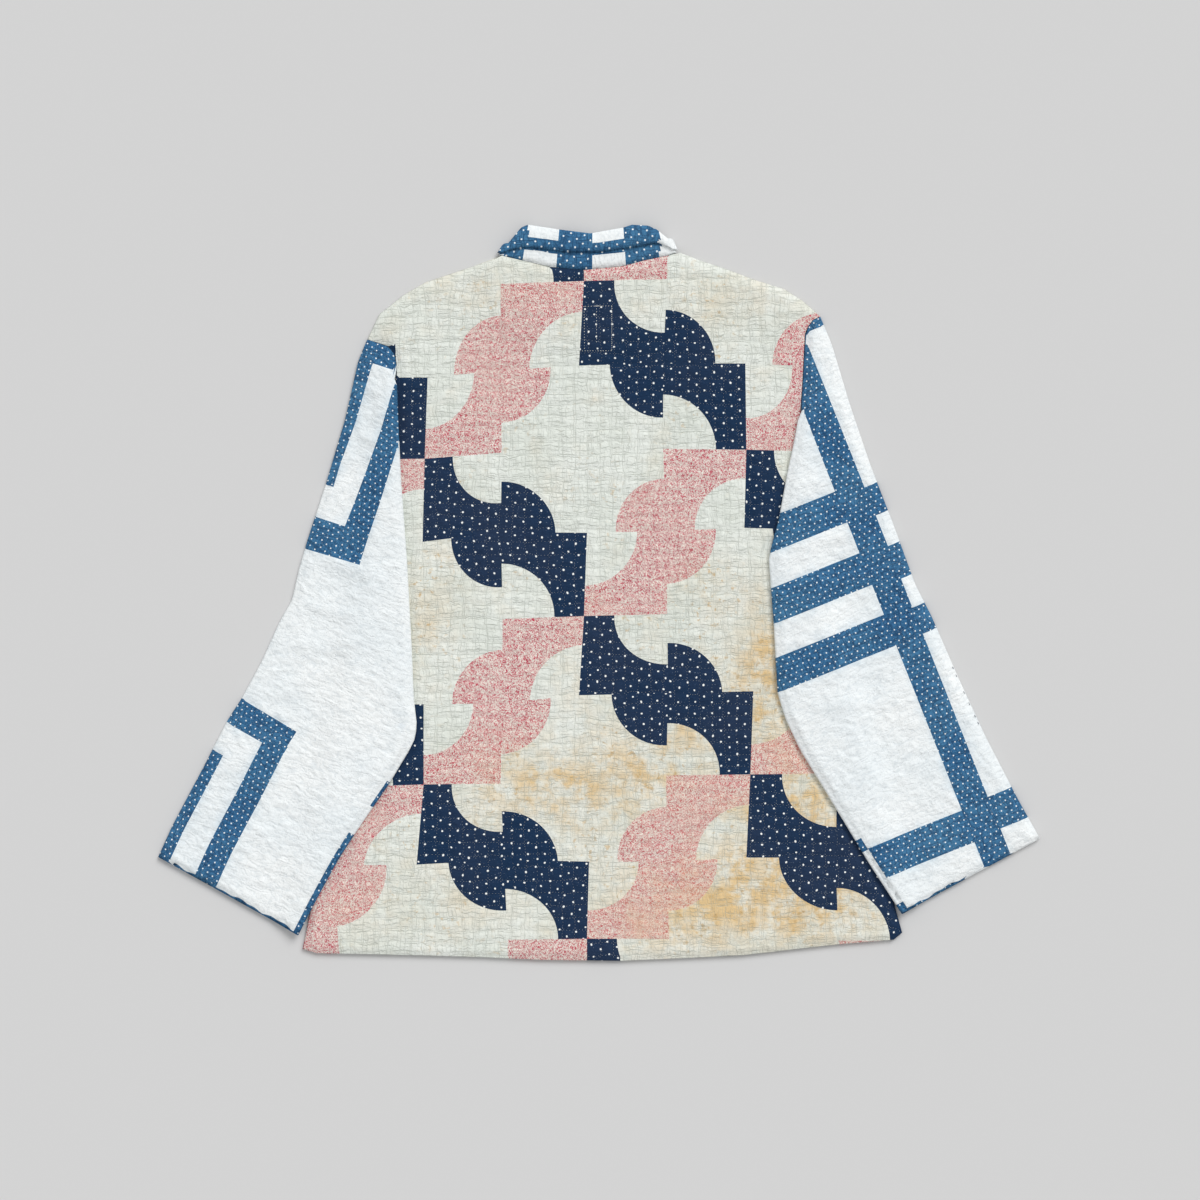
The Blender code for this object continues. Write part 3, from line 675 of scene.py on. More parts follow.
class Cloth:
    """Gathers the faces of one thin shell. Faces whose corners meet share them."""

    def __init__(self, name):
        self.name = name
        self.points = []
        self.found = {}
        self.faces = []
        self.hidden = []
        self.spots = []

    def corner(self, p):
        key = (round(p[0], 3), round(p[1], 3), round(p[2], 3))
        if key not in self.found:
            self.found[key] = len(self.points)
            self.points.append(key)
        return self.found[key]

    def face(self, points, hidden=False, around=None):
        corners = []
        for p in points:
            index = self.corner(p)
            if index not in corners:
                corners.append(index)
        if len(corners) > 2:
            self.faces.append(corners)
            self.hidden.append(hidden)
            around = around or points
            self.spots.append([sum(p[axis] for p in around) / len(around) for axis in (0, 1)])

    def grid(self, rows, closed=False, hidden=False):
        """Triangles between neighbouring rows of points, all cut along the same diagonal."""
        for low, high in zip(rows, rows[1:]):
            count = len(low)
            for i in range(count if closed else count - 1):
                j = (i + 1) % count
                around = (low[i], low[j], high[j], high[i])
                self.face((low[i], low[j], high[j]), hidden, around)
                self.face((low[i], high[j], high[i]), hidden, around)

    def patch(self, rim, points, lines, height, hidden=False):
        """Fills a rim with triangles through the given points, keeping to the given lines."""
        places = [tuple(p[:2]) for p in rim] + [tuple(p) for p in points]
        edges = [(i, (i + 1) % len(rim)) for i in range(len(rim))]
        closed = [p[:2] for p in rim] + [rim[0][:2]]
        for line in lines:
            fits = inside(line, closed[:-1]) & (distance(line, closed) > 0.8)
            for a, b, a_fits, b_fits in zip(line, line[1:], fits, fits[1:]):
                if a_fits and b_fits:
                    edges.append((len(places), len(places) + 1))
                    places += [tuple(a), tuple(b)]
        verts, _, faces, sources, _, _ = delaunay_2d_cdt([Vector(p) for p in places], edges, [], 1, 1e-4)
        flat = np.array([tuple(v) for v in verts])
        levels = height(flat)
        filled = []
        for place, level, source in zip(flat, levels, sources):
            first = min(source) if len(source) else len(rim)
            filled.append(tuple(rim[first]) if first < len(rim) else (place[0], place[1], level))
        for face in faces:
            self.face([filled[i] for i in face], hidden)

    def finish(self, quilting, fabric_at, fabrics, lining, mark_at):
        """Makes the shell's mesh, with its fabrics, marks and the places of their weave and print."""
        points = np.array(self.points)
        data = bpy.data.meshes.new(self.name)
        moved = (points - (*MIDDLE, 0.0)) * MM
        data.from_pydata(moved.tolist(), [], self.faces)
        shell = bmesh.new()
        shell.from_mesh(data)
        bmesh.ops.recalc_face_normals(shell, faces=shell.faces)
        shell.to_mesh(data)
        shell.free()
        corners = np.zeros(len(data.loops), int)
        data.loops.foreach_get("vertex_index", corners)
        sizes = np.zeros(len(data.polygons), int)
        data.polygons.foreach_get("loop_total", sizes)
        owner = np.repeat(np.arange(len(sizes)), sizes)
        fabric, number = fabric_at(np.array(self.spots))
        hidden = np.array(self.hidden)
        fabric = np.where(hidden, len(fabrics) - 1 if lining else fabric, fabric)
        data.polygons.foreach_set("material_index", fabric.astype(np.int32))
        stitched = data.uv_layers.new(name="quilting")
        stitched.data.foreach_set("uv", quilting.places(points)[corners].astype(np.float32).ravel())
        turn = 0.16 * np.sin(number * 12.9898)[owner]
        start = 17.0 * np.sin(number * 4.1414)[owner]
        flat = points[corners, :2]
        turned = np.stack([flat[:, 0] * np.cos(turn) - flat[:, 1] * np.sin(turn) + start,
                           flat[:, 0] * np.sin(turn) + flat[:, 1] * np.cos(turn) - start], axis=1)
        printed = data.uv_layers.new(name="print")
        printed.data.foreach_set("uv", turned.astype(np.float32).ravel())
        marks = data.attributes.new("mark", "FLOAT", "POINT")
        marks.data.foreach_set("value", mark_at(points).astype(np.float32))
        data.shade_smooth()
        for fabric_material in fabrics:
            data.materials.append(fabric_material)
        piece = bpy.data.objects.new(self.name, data)
        bpy.context.scene.collection.objects.link(piece)
        return piece


# Materials

def srgb(r, g, b):
    """A colour as seen on screen, in the values that shaders use."""
    linear = [(c / 255 / 12.92) if c / 255 <= 0.04045 else ((c / 255 + 0.055) / 1.055) ** 2.4 for c in (r, g, b)]
    return (*linear, 1.0)


class Fabric:
    """Builds the nodes of one fabric."""

    def __init__(self, name):
        self.material = bpy.data.materials.new(name)
        self.material.use_nodes = True
        self.tree = self.material.node_tree
        self.shader = self.tree.nodes["Principled BSDF"]
        self.shader.inputs["Metallic"].default_value = 0.0
        self.shader.inputs["Specular IOR Level"].default_value = 0.25
        self.place = self.node("ShaderNodeTexCoord").outputs["Object"]
        self.stitched = self.node("ShaderNodeUVMap", uv_map="quilting").outputs["UV"]
        self.printed = self.node("ShaderNodeUVMap", uv_map="print").outputs["UV"]

    def node(self, kind, **settings):
        made = self.tree.nodes.new(kind)
        for name, value in settings.items():
            setattr(made, name, value)
        return made

    def put(self, socket, value):
        if isinstance(value, bpy.types.NodeSocket):
            self.tree.links.new(value, socket)
        else:
            socket.default_value = value

    def math(self, operation, *values, clamp=False):
        made = self.node("ShaderNodeMath", operation=operation, use_clamp=clamp)
        for socket, value in zip(made.inputs, values):
            self.put(socket, value)
        return made.outputs[0]

    def noise(self, place, scale, detail=3.0, roughness=0.55, distortion=0.0):
        made = self.node("ShaderNodeTexNoise")
        self.put(made.inputs["Vector"], place)
        made.inputs["Scale"].default_value = scale
        made.inputs["Detail"].default_value = detail
        made.inputs["Roughness"].default_value = roughness
        made.inputs["Distortion"].default_value = distortion
        return made.outputs["Fac"]

    def between(self, value, low, high, start=0.0, end=1.0):
        """A value mapped smoothly from a range of it."""
        made = self.node("ShaderNodeMapRange", interpolation_type="SMOOTHSTEP")
        self.put(made.inputs["Value"], value)
        made.inputs["From Min"].default_value = low
        made.inputs["From Max"].default_value = high
        made.inputs["To Min"].default_value = start
        made.inputs["To Max"].default_value = end
        return made.outputs["Result"]

    def mix(self, share, a, b):
        made = self.node("ShaderNodeMix", data_type="RGBA")
        self.put(made.inputs[0], share)
        self.put(made.inputs[6], a)
        self.put(made.inputs[7], b)
        return made.outputs[2]

    def split(self, vector):
        made = self.node("ShaderNodeSeparateXYZ")
        self.put(made.inputs[0], vector)
        return made.outputs

    def near_line(self, coordinate, thin, wide):
        """1 on a whole number and 0 away from it, both limits in parts of the step."""
        part = self.math("FRACT", coordinate)
        away = self.math("MINIMUM", part, self.math("SUBTRACT", 1.0, part))
        return self.between(away, thin, wide, 1.0, 0.0)

    def stitch_lines(self, thin, wide):
        u, v, _ = self.split(self.stitched)
        return self.math("MAXIMUM", self.near_line(u, thin, wide), self.near_line(v, thin, wide))

    def dots(self, column_step, dot_step, radius, jitter):
        """Round dots in staggered columns, in the millimetres of the print."""
        x, y, _ = self.split(self.printed)
        x = self.math("ADD", x, self.math("MULTIPLY", self.noise(self.printed, 0.05, 0.0), jitter))
        y = self.math("ADD", y, self.math("MULTIPLY", self.noise(self.printed, 0.08, 0.0), jitter))
        column = self.math("DIVIDE", x, column_step)
        odd = self.math("MULTIPLY", self.math("FLOORED_MODULO", self.math("FLOOR", column), 2.0), 0.5)
        row = self.math("ADD", self.math("DIVIDE", y, dot_step), odd)
        dx = self.math("MULTIPLY", self.math("SUBTRACT", self.math("FRACT", column), 0.5), column_step)
        dy = self.math("MULTIPLY", self.math("SUBTRACT", self.math("FRACT", row), 0.5), dot_step)
        away = self.math("SQRT", self.math("ADD", self.math("MULTIPLY", dx, dx), self.math("MULTIPLY", dy, dy)))
        away = self.math("ADD", away, self.math("MULTIPLY", self.noise(self.printed, 1.3, 1.0), 0.4))
        return self.between(away, radius, radius + 0.4, 1.0, 0.0)

    def bent(self, amount):
        """Places counted in stitch lines, strayed from by short waves."""
        stray = self.node("ShaderNodeTexNoise")
        self.put(stray.inputs["Vector"], self.stitched)
        stray.inputs["Scale"].default_value = 2.3
        stray.inputs["Detail"].default_value = 2.0
        made = self.node("ShaderNodeVectorMath", operation="MULTIPLY_ADD")
        self.put(made.inputs[0], stray.outputs["Color"])
        made.inputs[1].default_value = (amount, amount, 0.0)
        self.put(made.inputs[2], self.stitched)
        return made.outputs[0]

    def stretched(self, place, turn, across, along):
        """A place turned and scaled by its own amount in each direction."""
        made = self.node("ShaderNodeMapping")
        self.put(made.inputs["Vector"], place)
        made.inputs["Rotation"].default_value = (0.0, 0.0, turn)
        made.inputs["Scale"].default_value = (across, along, 1.0)
        return made.outputs["Vector"]

    def crease_lines(self, axis, count, bend, thin):
        """Narrow creases side by side in one direction, each of which comes and goes: 1 on a crease."""
        coordinate = self.math("MULTIPLY", self.split(self.bent(bend))[axis], count)
        run = (3.0, 0.55) if axis == 0 else (0.55, 3.0)
        here = self.between(self.noise(self.stretched(self.stitched, 0.0, *run), 0.5 * count, 1.0), 0.42, 0.62)
        return self.math("MULTIPLY", self.near_line(coordinate, 0.0, thin), here)

    def creases(self, lines, fine):
        """The stitch lines and the fine creases between them, each with its own strength. The fabrics use it as a
        height and to paint shade into their colour along the lines and creases.
        """
        often = self.between(self.noise(self.stitched, 0.8, 2.0), 0.35, 0.65, 0.25, 1.0)
        drawn = self.math("MULTIPLY", self.math("MULTIPLY", self.stitch_lines(0.0, 0.06), often), lines)
        for axis, count, bend, share in ((1, 2.0, 0.3, 1.0), (0, 2.0, 0.3, 0.7), (1, 3.3, 0.4, 0.9), (0, 3.3, 0.4, 0.6)):
            line = self.math("MULTIPLY", self.crease_lines(axis, count, bend, 0.055 * count), fine * share)
            drawn = self.math("MAXIMUM", drawn, line)
        return drawn

    def ripples(self):
        """Rounded ripples that run across the sleeve, parted by narrow creases, as a height."""
        total = None
        for place, height in ((self.stretched(self.bent(0.35), 0.35, 2.5, 0.7), 1.5), (self.stitched, 0.5)):
            wave = self.noise(place, 1.0 if total is None else 2.2, 1.0, 0.4, 0.3)
            wave = self.math("MULTIPLY", self.math("ABSOLUTE", self.math("SUBTRACT", wave, 0.5)), height)
            total = wave if total is None else self.math("ADD", total, wave)
        return total

    def mark(self):
        """The stain or dye that the cloth carries there."""
        return self.node("ShaderNodeAttribute", attribute_name="mark").outputs["Fac"]

    def weave(self, thread):
        """Over and under of the threads, as a height."""
        x, y, _ = self.split(self.place)
        wave = [self.math("SINE", self.math("MULTIPLY", c, 2 * math.pi / thread)) for c in (x, y)]
        return self.math("MULTIPLY", *wave)

    def surface(self, colour, roughness, puckers, depth, folds=None):
        """Joins the colour and the fine relief, with any folds, to the shader."""
        self.put(self.shader.inputs["Base Color"], colour)
        worn = self.noise(self.place, 60.0, 3.0)
        self.put(self.shader.inputs["Roughness"], self.between(worn, 0.3, 0.7, roughness - 0.05, roughness + 0.04))
        height = self.math("MULTIPLY", self.noise(self.place, puckers, 3.0, 0.6, 0.6), 1.0)
        height = self.math("ADD", height, self.math("MULTIPLY", self.weave(0.0008), 0.03))
        if folds is not None:
            height = self.math("ADD", height, folds)
        bump = self.node("ShaderNodeBump")
        bump.inputs["Strength"].default_value = 1.0
        bump.inputs["Distance"].default_value = depth
        self.put(bump.inputs["Height"], height)
        self.put(self.shader.inputs["Normal"], bump.outputs["Normal"])
        return self.material


def aged(fabric, colour, tan, amount):
    """Tan stains where the cloth is marked, clouded, with darker specks and faint tan clouds elsewhere."""
    mark = fabric.mark()
    cloud = fabric.noise(fabric.place, 55.0, 4.0, 0.65)
    broad = fabric.math("MULTIPLY", mark, fabric.between(cloud, 0.35, 0.58, 0.25, 1.0))
    stained = fabric.mix(fabric.math("MULTIPLY", broad, amount), colour, tan)
    faint = fabric.between(fabric.noise(fabric.place, 24.0, 3.0), 0.5, 0.8, 0.0, 0.2)
    stained = fabric.mix(faint, stained, tan)
    speck = fabric.between(fabric.noise(fabric.place, 170.0, 2.0), 0.58, 0.72)
    often = fabric.between(fabric.math("ADD", fabric.noise(fabric.place, 13.0, 2.0), fabric.math("MULTIPLY", mark, 0.25)),
                           0.45, 0.72, 0.05, 0.75)
    return fabric.mix(fabric.math("MULTIPLY", speck, often), stained, srgb(206, 172, 118))


def cream_cotton():
    fabric = Fabric("cream_cotton")
    tint = fabric.between(fabric.noise(fabric.place, 17.0, 3.0), 0.3, 0.7)
    base = fabric.mix(tint, srgb(236, 240, 234), srgb(226, 231, 223))
    base = aged(fabric, base, srgb(226, 196, 146), 1.0)
    creases = fabric.creases(0.5, 0.6)
    # Painted shade: the cream turns darker grey-green along the stitch lines and fine creases, where their ditches
    # are in shade.
    base = fabric.mix(creases, base, srgb(160, 166, 154))
    return fabric.surface(base, 0.9, 260.0, 0.0011, fabric.math("MULTIPLY", creases, -0.5))


def navy_cotton():
    fabric = Fabric("navy_cotton")
    tint = fabric.noise(fabric.place, 9.0, 3.0, 0.6)
    base = fabric.mix(fabric.between(tint, 0.35, 0.65), srgb(10, 42, 74), srgb(28, 46, 74))
    grain = fabric.between(fabric.noise(fabric.printed, 0.8, 2.0, 0.7), 0.35, 0.7, 0.0, 0.25)
    base = fabric.mix(grain, base, srgb(46, 74, 104))
    speck = fabric.between(fabric.noise(fabric.printed, 0.62, 1.0), 0.7, 0.76, 0.0, 0.6)
    base = fabric.mix(speck, base, srgb(170, 182, 200))
    creases = fabric.creases(0.4, 0.4)
    # Painted shade: the navy turns darker along the stitch lines and fine creases, where their ditches are in shade.
    base = fabric.mix(creases, base, srgb(18, 36, 62))
    base = fabric.mix(fabric.dots(8.7, 12.0, 1.0, 4.0), base, srgb(246, 248, 246))
    return fabric.surface(base, 0.88, 260.0, 0.0009, fabric.math("MULTIPLY", creases, -0.4))


def pink_cotton():
    fabric = Fabric("pink_cotton")
    curls = fabric.noise(fabric.printed, 0.48, 0.0, 0.5, 1.2)
    line = fabric.between(fabric.math("ABSOLUTE", fabric.math("SUBTRACT", curls, 0.5)), 0.045, 0.06, 1.0, 0.0)
    dabs = fabric.between(fabric.noise(fabric.printed, 0.6, 0.0, 0.5, 1.6), 0.6, 0.64)
    scribble = fabric.math("MAXIMUM", line, dabs)
    rose = fabric.mix(fabric.noise(fabric.place, 20.0, 2.0), srgb(180, 48, 78), srgb(204, 92, 106))
    base = fabric.mix(scribble, srgb(236, 230, 220), rose)
    worn = fabric.between(fabric.noise(fabric.place, 11.0, 3.0), 0.45, 0.75, 0.0, 0.35)
    base = fabric.mix(worn, base, srgb(222, 190, 178))
    base = fabric.mix(fabric.math("MULTIPLY", fabric.mark(), 0.45), base, srgb(228, 190, 150))
    creases = fabric.creases(0.3, 0.35)
    # Painted shade: the pink cloth turns darker along the stitch lines and fine creases, where their ditches are in
    # shade.
    base = fabric.mix(creases, base, srgb(160, 112, 112))
    return fabric.surface(base, 0.9, 260.0, 0.001, fabric.math("MULTIPLY", creases, -0.4))


def white_cotton():
    fabric = Fabric("white_cotton")
    tint = fabric.between(fabric.noise(fabric.place, 10.0, 3.0), 0.35, 0.7)
    base = fabric.mix(tint, srgb(246, 249, 249), srgb(237, 243, 245))
    run = fabric.math("MULTIPLY", fabric.mark(), fabric.between(fabric.noise(fabric.place, 75.0, 3.0), 0.35, 0.75, 0.1, 0.9))
    base = fabric.mix(fabric.math("MULTIPLY", run, 0.55), base, srgb(170, 200, 220))
    spot = fabric.between(fabric.noise(fabric.place, 42.0, 2.0), 0.7, 0.8, 0.0, 0.25)
    base = fabric.mix(spot, base, srgb(196, 212, 226))
    ripples = fabric.ripples()
    # Painted shade: the white turns grey in the narrow valleys between the ripples and along the stitch lines and
    # fine creases.
    creases = fabric.math("MAXIMUM", fabric.between(ripples, 0.02, 0.12, 0.35, 0.0), fabric.creases(0.1, 0.25))
    base = fabric.mix(creases, base, srgb(198, 208, 214))
    return fabric.surface(base, 0.9, 230.0, 0.0011, ripples)


def blue_cotton(name, column_step, dot_step, radius):
    fabric = Fabric(name)
    tint = fabric.noise(fabric.place, 16.0, 4.0, 0.6)
    base = fabric.mix(fabric.between(tint, 0.3, 0.7), srgb(42, 96, 142), srgb(68, 122, 162))
    grain = fabric.between(fabric.noise(fabric.printed, 0.7, 2.0, 0.7), 0.4, 0.7, 0.0, 0.45)
    base = fabric.mix(grain, base, srgb(92, 148, 184))
    ripples = fabric.ripples()
    # Painted shade: the blue turns dark navy in the narrow valleys between the ripples and along the stitch lines
    # and fine creases.
    creases = fabric.math("MAXIMUM", fabric.between(ripples, 0.02, 0.16, 0.6, 0.0), fabric.creases(0.85, 0.8))
    base = fabric.mix(creases, base, srgb(14, 46, 82))
    base = fabric.mix(fabric.dots(column_step, dot_step, radius, 2.4), base, srgb(240, 246, 248))
    return fabric.surface(base, 0.88, 230.0, 0.0012, ripples)


def backing_cotton():
    fabric = Fabric("backing_cotton")
    base = aged(fabric, srgb(226, 226, 216), srgb(222, 202, 164), 0.6)
    # Painted shade: the backing turns darker grey-brown along the stitch lines and fine creases, where their ditches
    # are in shade.
    base = fabric.mix(fabric.creases(0.4, 0.4), base, srgb(172, 170, 154))
    return fabric.surface(base, 0.92, 260.0, 0.001)


# Pieces

BODY_QUILTING = Quilting(0.0, 1.0)


def under_sleeves(points):
    """1 where a sleeve lies on the body, eased to 0 just beside it."""
    share = np.zeros(len(points))
    for outer, inner in ((LEFT_OUTER, LEFT_INNER), (RIGHT_OUTER, RIGHT_INNER)):
        outline = list(outer) + list(inner)[::-1]
        covered = inside(points, outline)
        away = distance(points, outline + [outline[0]])
        share = np.maximum(share, np.where(covered, 1.0, 1.0 - smooth((away - 2.0) / 8.0)))
    return share


def back_relief(points, edge):
    """Padding, puckers and creases of the back over its plain top, low where a sleeve lies on it."""
    pillows = BODY_QUILTING.pillows(points)
    seam = smooth(body_seams(points) / 3.5)
    places = BODY_QUILTING.places(points)
    halves = np.abs(np.cos(math.pi * places)).min(axis=1) ** 0.5
    pucker = swell(points, 8.0, 5.0) * 0.6 + swell(points, 4.5, 8.0) * 0.45
    rows = np.abs(np.sin(2.0 * math.pi * places[:, 1] + 1.5 * swell(points, 24.0, 9.0)))
    stretch = smooth((np.asarray(points)[:, 1] - 150.0) / 120.0)
    padding = 1.1 * pillows + (pucker + 0.5 * halves) * (0.3 + 0.7 * pillows) + 0.5 * stretch * rows
    padding *= 0.4 + 0.6 * seam
    waves = 0.9 * (1.0 + swell(points, 95.0, 2.0)) + 0.5 * (1.0 + swell(points, 42.0, 4.0))
    free = padding + waves + fold_lines(points, BACK_CREASES)
    covered = under_sleeves(points)
    fade = smooth(distance(points, edge) / 6.0)
    return np.maximum(0.0, (free * (1.0 - covered) + 0.9 * pillows * covered)) * fade


def make_back(fabrics):
    """The back: plain inside, quilted outside, its sides and shoulders turned down to the seams."""
    cloth = Cloth("back_quilt")
    outline, turned = body_outline(EDGE_STEP)
    outline = clear_of_sleeves(outline)
    radii = [WALL if mark else SOFT_EDGE for mark in turned]
    top = BACK_LEVEL + WALL
    drawn_in = inset(outline, radii)
    half_in = inset(outline, [r * ROUND for r in radii])
    lifts = np.where(turned, 0.0, neck_rise(outline))
    highs = top + neck_rise(drawn_in)
    under = [(*p, BACK_LEVEL + lift) for p, lift in zip(outline, lifts)]
    edge = [(*p, top + lift - r) for p, lift, r in zip(outline, lifts, radii)]
    bevel = [(*q, high - (high - e[2]) * ROUND) for q, high, e in zip(half_in, highs, edge)]
    flat_top = [(*p, high) for p, high in zip(drawn_in, highs)]
    cloth.grid([under, edge, bevel, flat_top], closed=True)
    lattice = BODY_QUILTING.lattice(drawn_in, 1.5)
    lattice = lattice[body_seams(lattice) > 0.9]
    closed = drawn_in + [drawn_in[0]]

    def height(points):
        return top + neck_rise(points) + back_relief(points, closed)

    cloth.patch(flat_top, lattice, body_seam_lines(drawn_in), height)
    coarse = Quilting(0.0, 1.0, PITCH * 1.5)
    inner = coarse.lattice(drawn_in, 4.0)[::LATTICE_PARTS]
    inner = inner[neck_rise(inner) > 0.0]
    cloth.patch(under, inner, [], lambda points: BACK_LEVEL + neck_rise(points), hidden=True)
    return cloth.finish(BODY_QUILTING, body_fabric, fabrics, True, body_stain), height


def make_front(name, outline, turned, fabrics):
    """A front panel: it lies under the back with its outer side down, flat on the surface."""
    cloth = Cloth(name)
    outline = clear_of_sleeves(outline)
    radii = [WALL if mark else SOFT_EDGE for mark in turned]
    base = [(*p, 0.0) for p in inset(outline, radii)]
    bevel = [(*p, r * ROUND) for p, r in zip(inset(outline, [r * ROUND for r in radii]), radii)]
    edge = [(*p, r) for p, r in zip(outline, radii)]
    upper = [(*p, WALL) for p in outline]
    cloth.grid([upper, edge, bevel, base], closed=True)
    cloth.patch(upper, [], [], lambda points: np.full(len(points), WALL), hidden=True)
    drawn_in = [p[:2] for p in base]
    lattice = BODY_QUILTING.lattice(drawn_in, 3.0)[::3]
    lattice = lattice[body_seams(lattice) > 2.0]
    cloth.patch(base, lattice, body_seam_lines(drawn_in), lambda points: np.zeros(len(points)))
    return cloth.finish(BODY_QUILTING, body_fabric, fabrics, True, body_stain)


def make_fronts(fabrics):
    """Both front panels, edge to edge at the centre front."""
    left_edge = NECK_MIDDLE - FRONT_GAP / 2
    right_edge = NECK_MIDDLE + FRONT_GAP / 2
    bottom = min(y for _, y in HEM)
    left_arc = [p for p in NECK_ARC if p[0] < left_edge - GAP]
    right_arc = [p for p in NECK_ARC if p[0] > right_edge + GAP]
    lowest = NECK_ARC[len(NECK_ARC) // 2][1]
    left_hem = [p for p in HEM if p[0] < left_edge]
    right_hem = [p for p in HEM if p[0] > right_edge]
    left = join_runs([
        ([(left_edge, lowest)] + left_arc[::-1], False),
        (SHOULDER_LEFT + [ARM_SEAM_LEFT[0]], True),
        (ARM_SEAM_LEFT + [UNDERARM_LEFT], False),
        ([UNDERARM_LEFT, HEM_LEFT], True),
        (left_hem + [(left_edge, bottom)], False),
        ([(left_edge, bottom), (left_edge, lowest)], False),
    ], EDGE_STEP)
    right = join_runs([
        ([HEM_RIGHT, UNDERARM_RIGHT], True),
        ([UNDERARM_RIGHT] + ARM_SEAM_RIGHT, False),
        ([ARM_SEAM_RIGHT[-1]] + SHOULDER_RIGHT, True),
        (right_arc[::-1] + [(right_edge, lowest)], False),
        ([(right_edge, lowest), (right_edge, bottom)], False),
        ([(right_edge, bottom)] + right_hem, False),
    ], EDGE_STEP)
    return [make_front("front_left_quilt", *left, fabrics), make_front("front_right_quilt", *right, fabrics)]


class Sleeve:
    """One quilted sheet folded round the arm and laid flat, partly on the back.

    Each row of points runs round the sheet: from its underarm edge along the lower layer, round the
    outer fold, along the upper layer, round the fold that lies on the back, and to its other edge.
    """

    def __init__(self, outer, inner, arm_seam, top_points, underarm, hem_corner):
        beside_top = len(arm_seam) - top_points + 1
        self.outer = outer
        self.inner = inner + arm_seam[1:beside_top]
        self.top = arm_seam[beside_top - 1:][::-1]
        self.corner = inner[-1]
        self.corner_share = run_length(inner) / run_length(self.inner)
        self.fold_share = self.corner_share - FOLD_CORNER / run_length(self.inner)
        self.underarm = underarm
        self.body_edge = [self.corner, underarm, hem_corner]
        self.body = body_outline(PITCH * 1.5)[0]
        down = Vector(outer[0]) - Vector(outer[-1])
        self.down = np.array(down.normalized())
        self.heading = math.atan2(down.y, down.x)

    def lift(self, points):
        """Height of the sleeve's underside: up on the back, and eased down to the surface beside it."""
        points = np.atleast_2d(np.asarray(points, float))[:, :2]
        share = smooth((points - self.corner) @ self.down / CORNER_RISE)
        beside_body = 1.0 - smooth(distance(points, self.body_edge) / DRAPE)
        return SLEEVE_LIFT * share * np.where(inside(points, self.body), 1.0, beside_body)

    def body_crossing(self, line):
        """How far along a row the body's edge is met, or nothing where it isn't."""
        length = run_length(line)
        stops = np.linspace(0.0, length, 61)
        for _ in range(3):
            within = inside([at_length(line, s) for s in stops], self.body)
            if not within[1:].any():
                return None
            first = int(np.argmax(within[1:])) + 1
            stops = np.linspace(stops[first - 1], stops[first], 61)
        return float(stops[0])

    def row(self, share):
        """Outer and inner points round the sheet at a share of the way from the cuff to the armhole."""
        beside_seam = share >= self.fold_share
        if share >= 1.0:
            line = self.top
        else:
            outer = at_length(self.outer, share * run_length(self.outer))
            inner = at_length(self.inner, share * run_length(self.inner))
            line = [outer, self.fold_start() if share == self.fold_share else inner]
        length = run_length(line)
        stops = [ROLL + (length - 2 * ROLL) * i / SLEEVE_COLUMNS for i in range(SLEEVE_COLUMNS + 1)]
        crossing = None if beside_seam else self.body_crossing(line)
        below_underarm = math.inf
        if crossing is not None:
            below_underarm = self.underarm[1] - at_length(line, crossing)[1]
        at_armhole = beside_seam or below_underarm < 0.0
        lower_end = stops[-2] - GAP
        if at_armhole and not beside_seam:
            lower_end = crossing
        elif below_underarm < run_length(self.outer) / EASE_ROWS:
            lower_end = crossing - GAP
        lower_stops = [s if not at_armhole else ROLL + (lower_end - ROLL) * i / (SLEEVE_COLUMNS - 1)
                       for i, s in enumerate(stops[:-1])]
        if not at_armhole:
            lower_stops = [min(s, lower_end - (SLEEVE_COLUMNS - 1 - i) * GAP) for i, s in enumerate(lower_stops)]
            lower_stops[-1] = lower_end

        def lay(places, levels):
            return [(*at_length(line, s), float(z)) for s, z in zip(places, levels)]

        def level_at(places):
            return self.lift([at_length(line, s) for s in places])

        lower_stops = lower_stops[::-1]
        low = np.zeros(len(lower_stops)) if at_armhole else level_at(lower_stops)
        outside = lay(lower_stops, low)
        within = lay(lower_stops, low + WALL)
        centre = level_at([ROLL])[0] + ROLL
        turns = [math.pi * i / ROLL_STEPS for i in range(1, ROLL_STEPS)]
        outside += lay([ROLL * (1.0 - math.sin(t)) for t in turns], [centre - ROLL * math.cos(t) for t in turns])
        within += lay([ROLL - GAP / 2 * math.sin(t) for t in turns], [centre - GAP / 2 * math.cos(t) for t in turns])
        upper_start = len(outside)
        levels = level_at(stops)
        outside += lay(stops, levels + BACK_LEVEL + WALL)
        within += lay(stops, levels + BACK_LEVEL)
        upper_end = len(outside)
        centre = levels[-1] + ROLL
        outside += lay([length - ROLL * (1.0 - math.sin(t)) for t in turns],
                       [centre + ROLL * math.cos(t) for t in turns])
        within += lay([length - ROLL + GAP / 2 * math.sin(t) for t in turns],
                      [centre + GAP / 2 * math.cos(t) for t in turns])
        tuck_end = lower_end + GAP
        if at_armhole and not beside_seam:
            tuck_end = min(tuck_end, length - ROLL - WALL)
        tucks = [length - ROLL, tuck_end]
        levels = level_at(tucks)
        outside += lay(tucks, levels)
        within += lay(tucks, levels + WALL)
        return outside, within, upper_start, upper_end

    def fold_start(self):
        """Where the fold starts, just clear of the armhole's edge."""
        x, y = at_length(self.body_edge, FOLD_CORNER)
        away = GAP * 2 if x > 0 else -GAP * 2
        return (x + away, y)

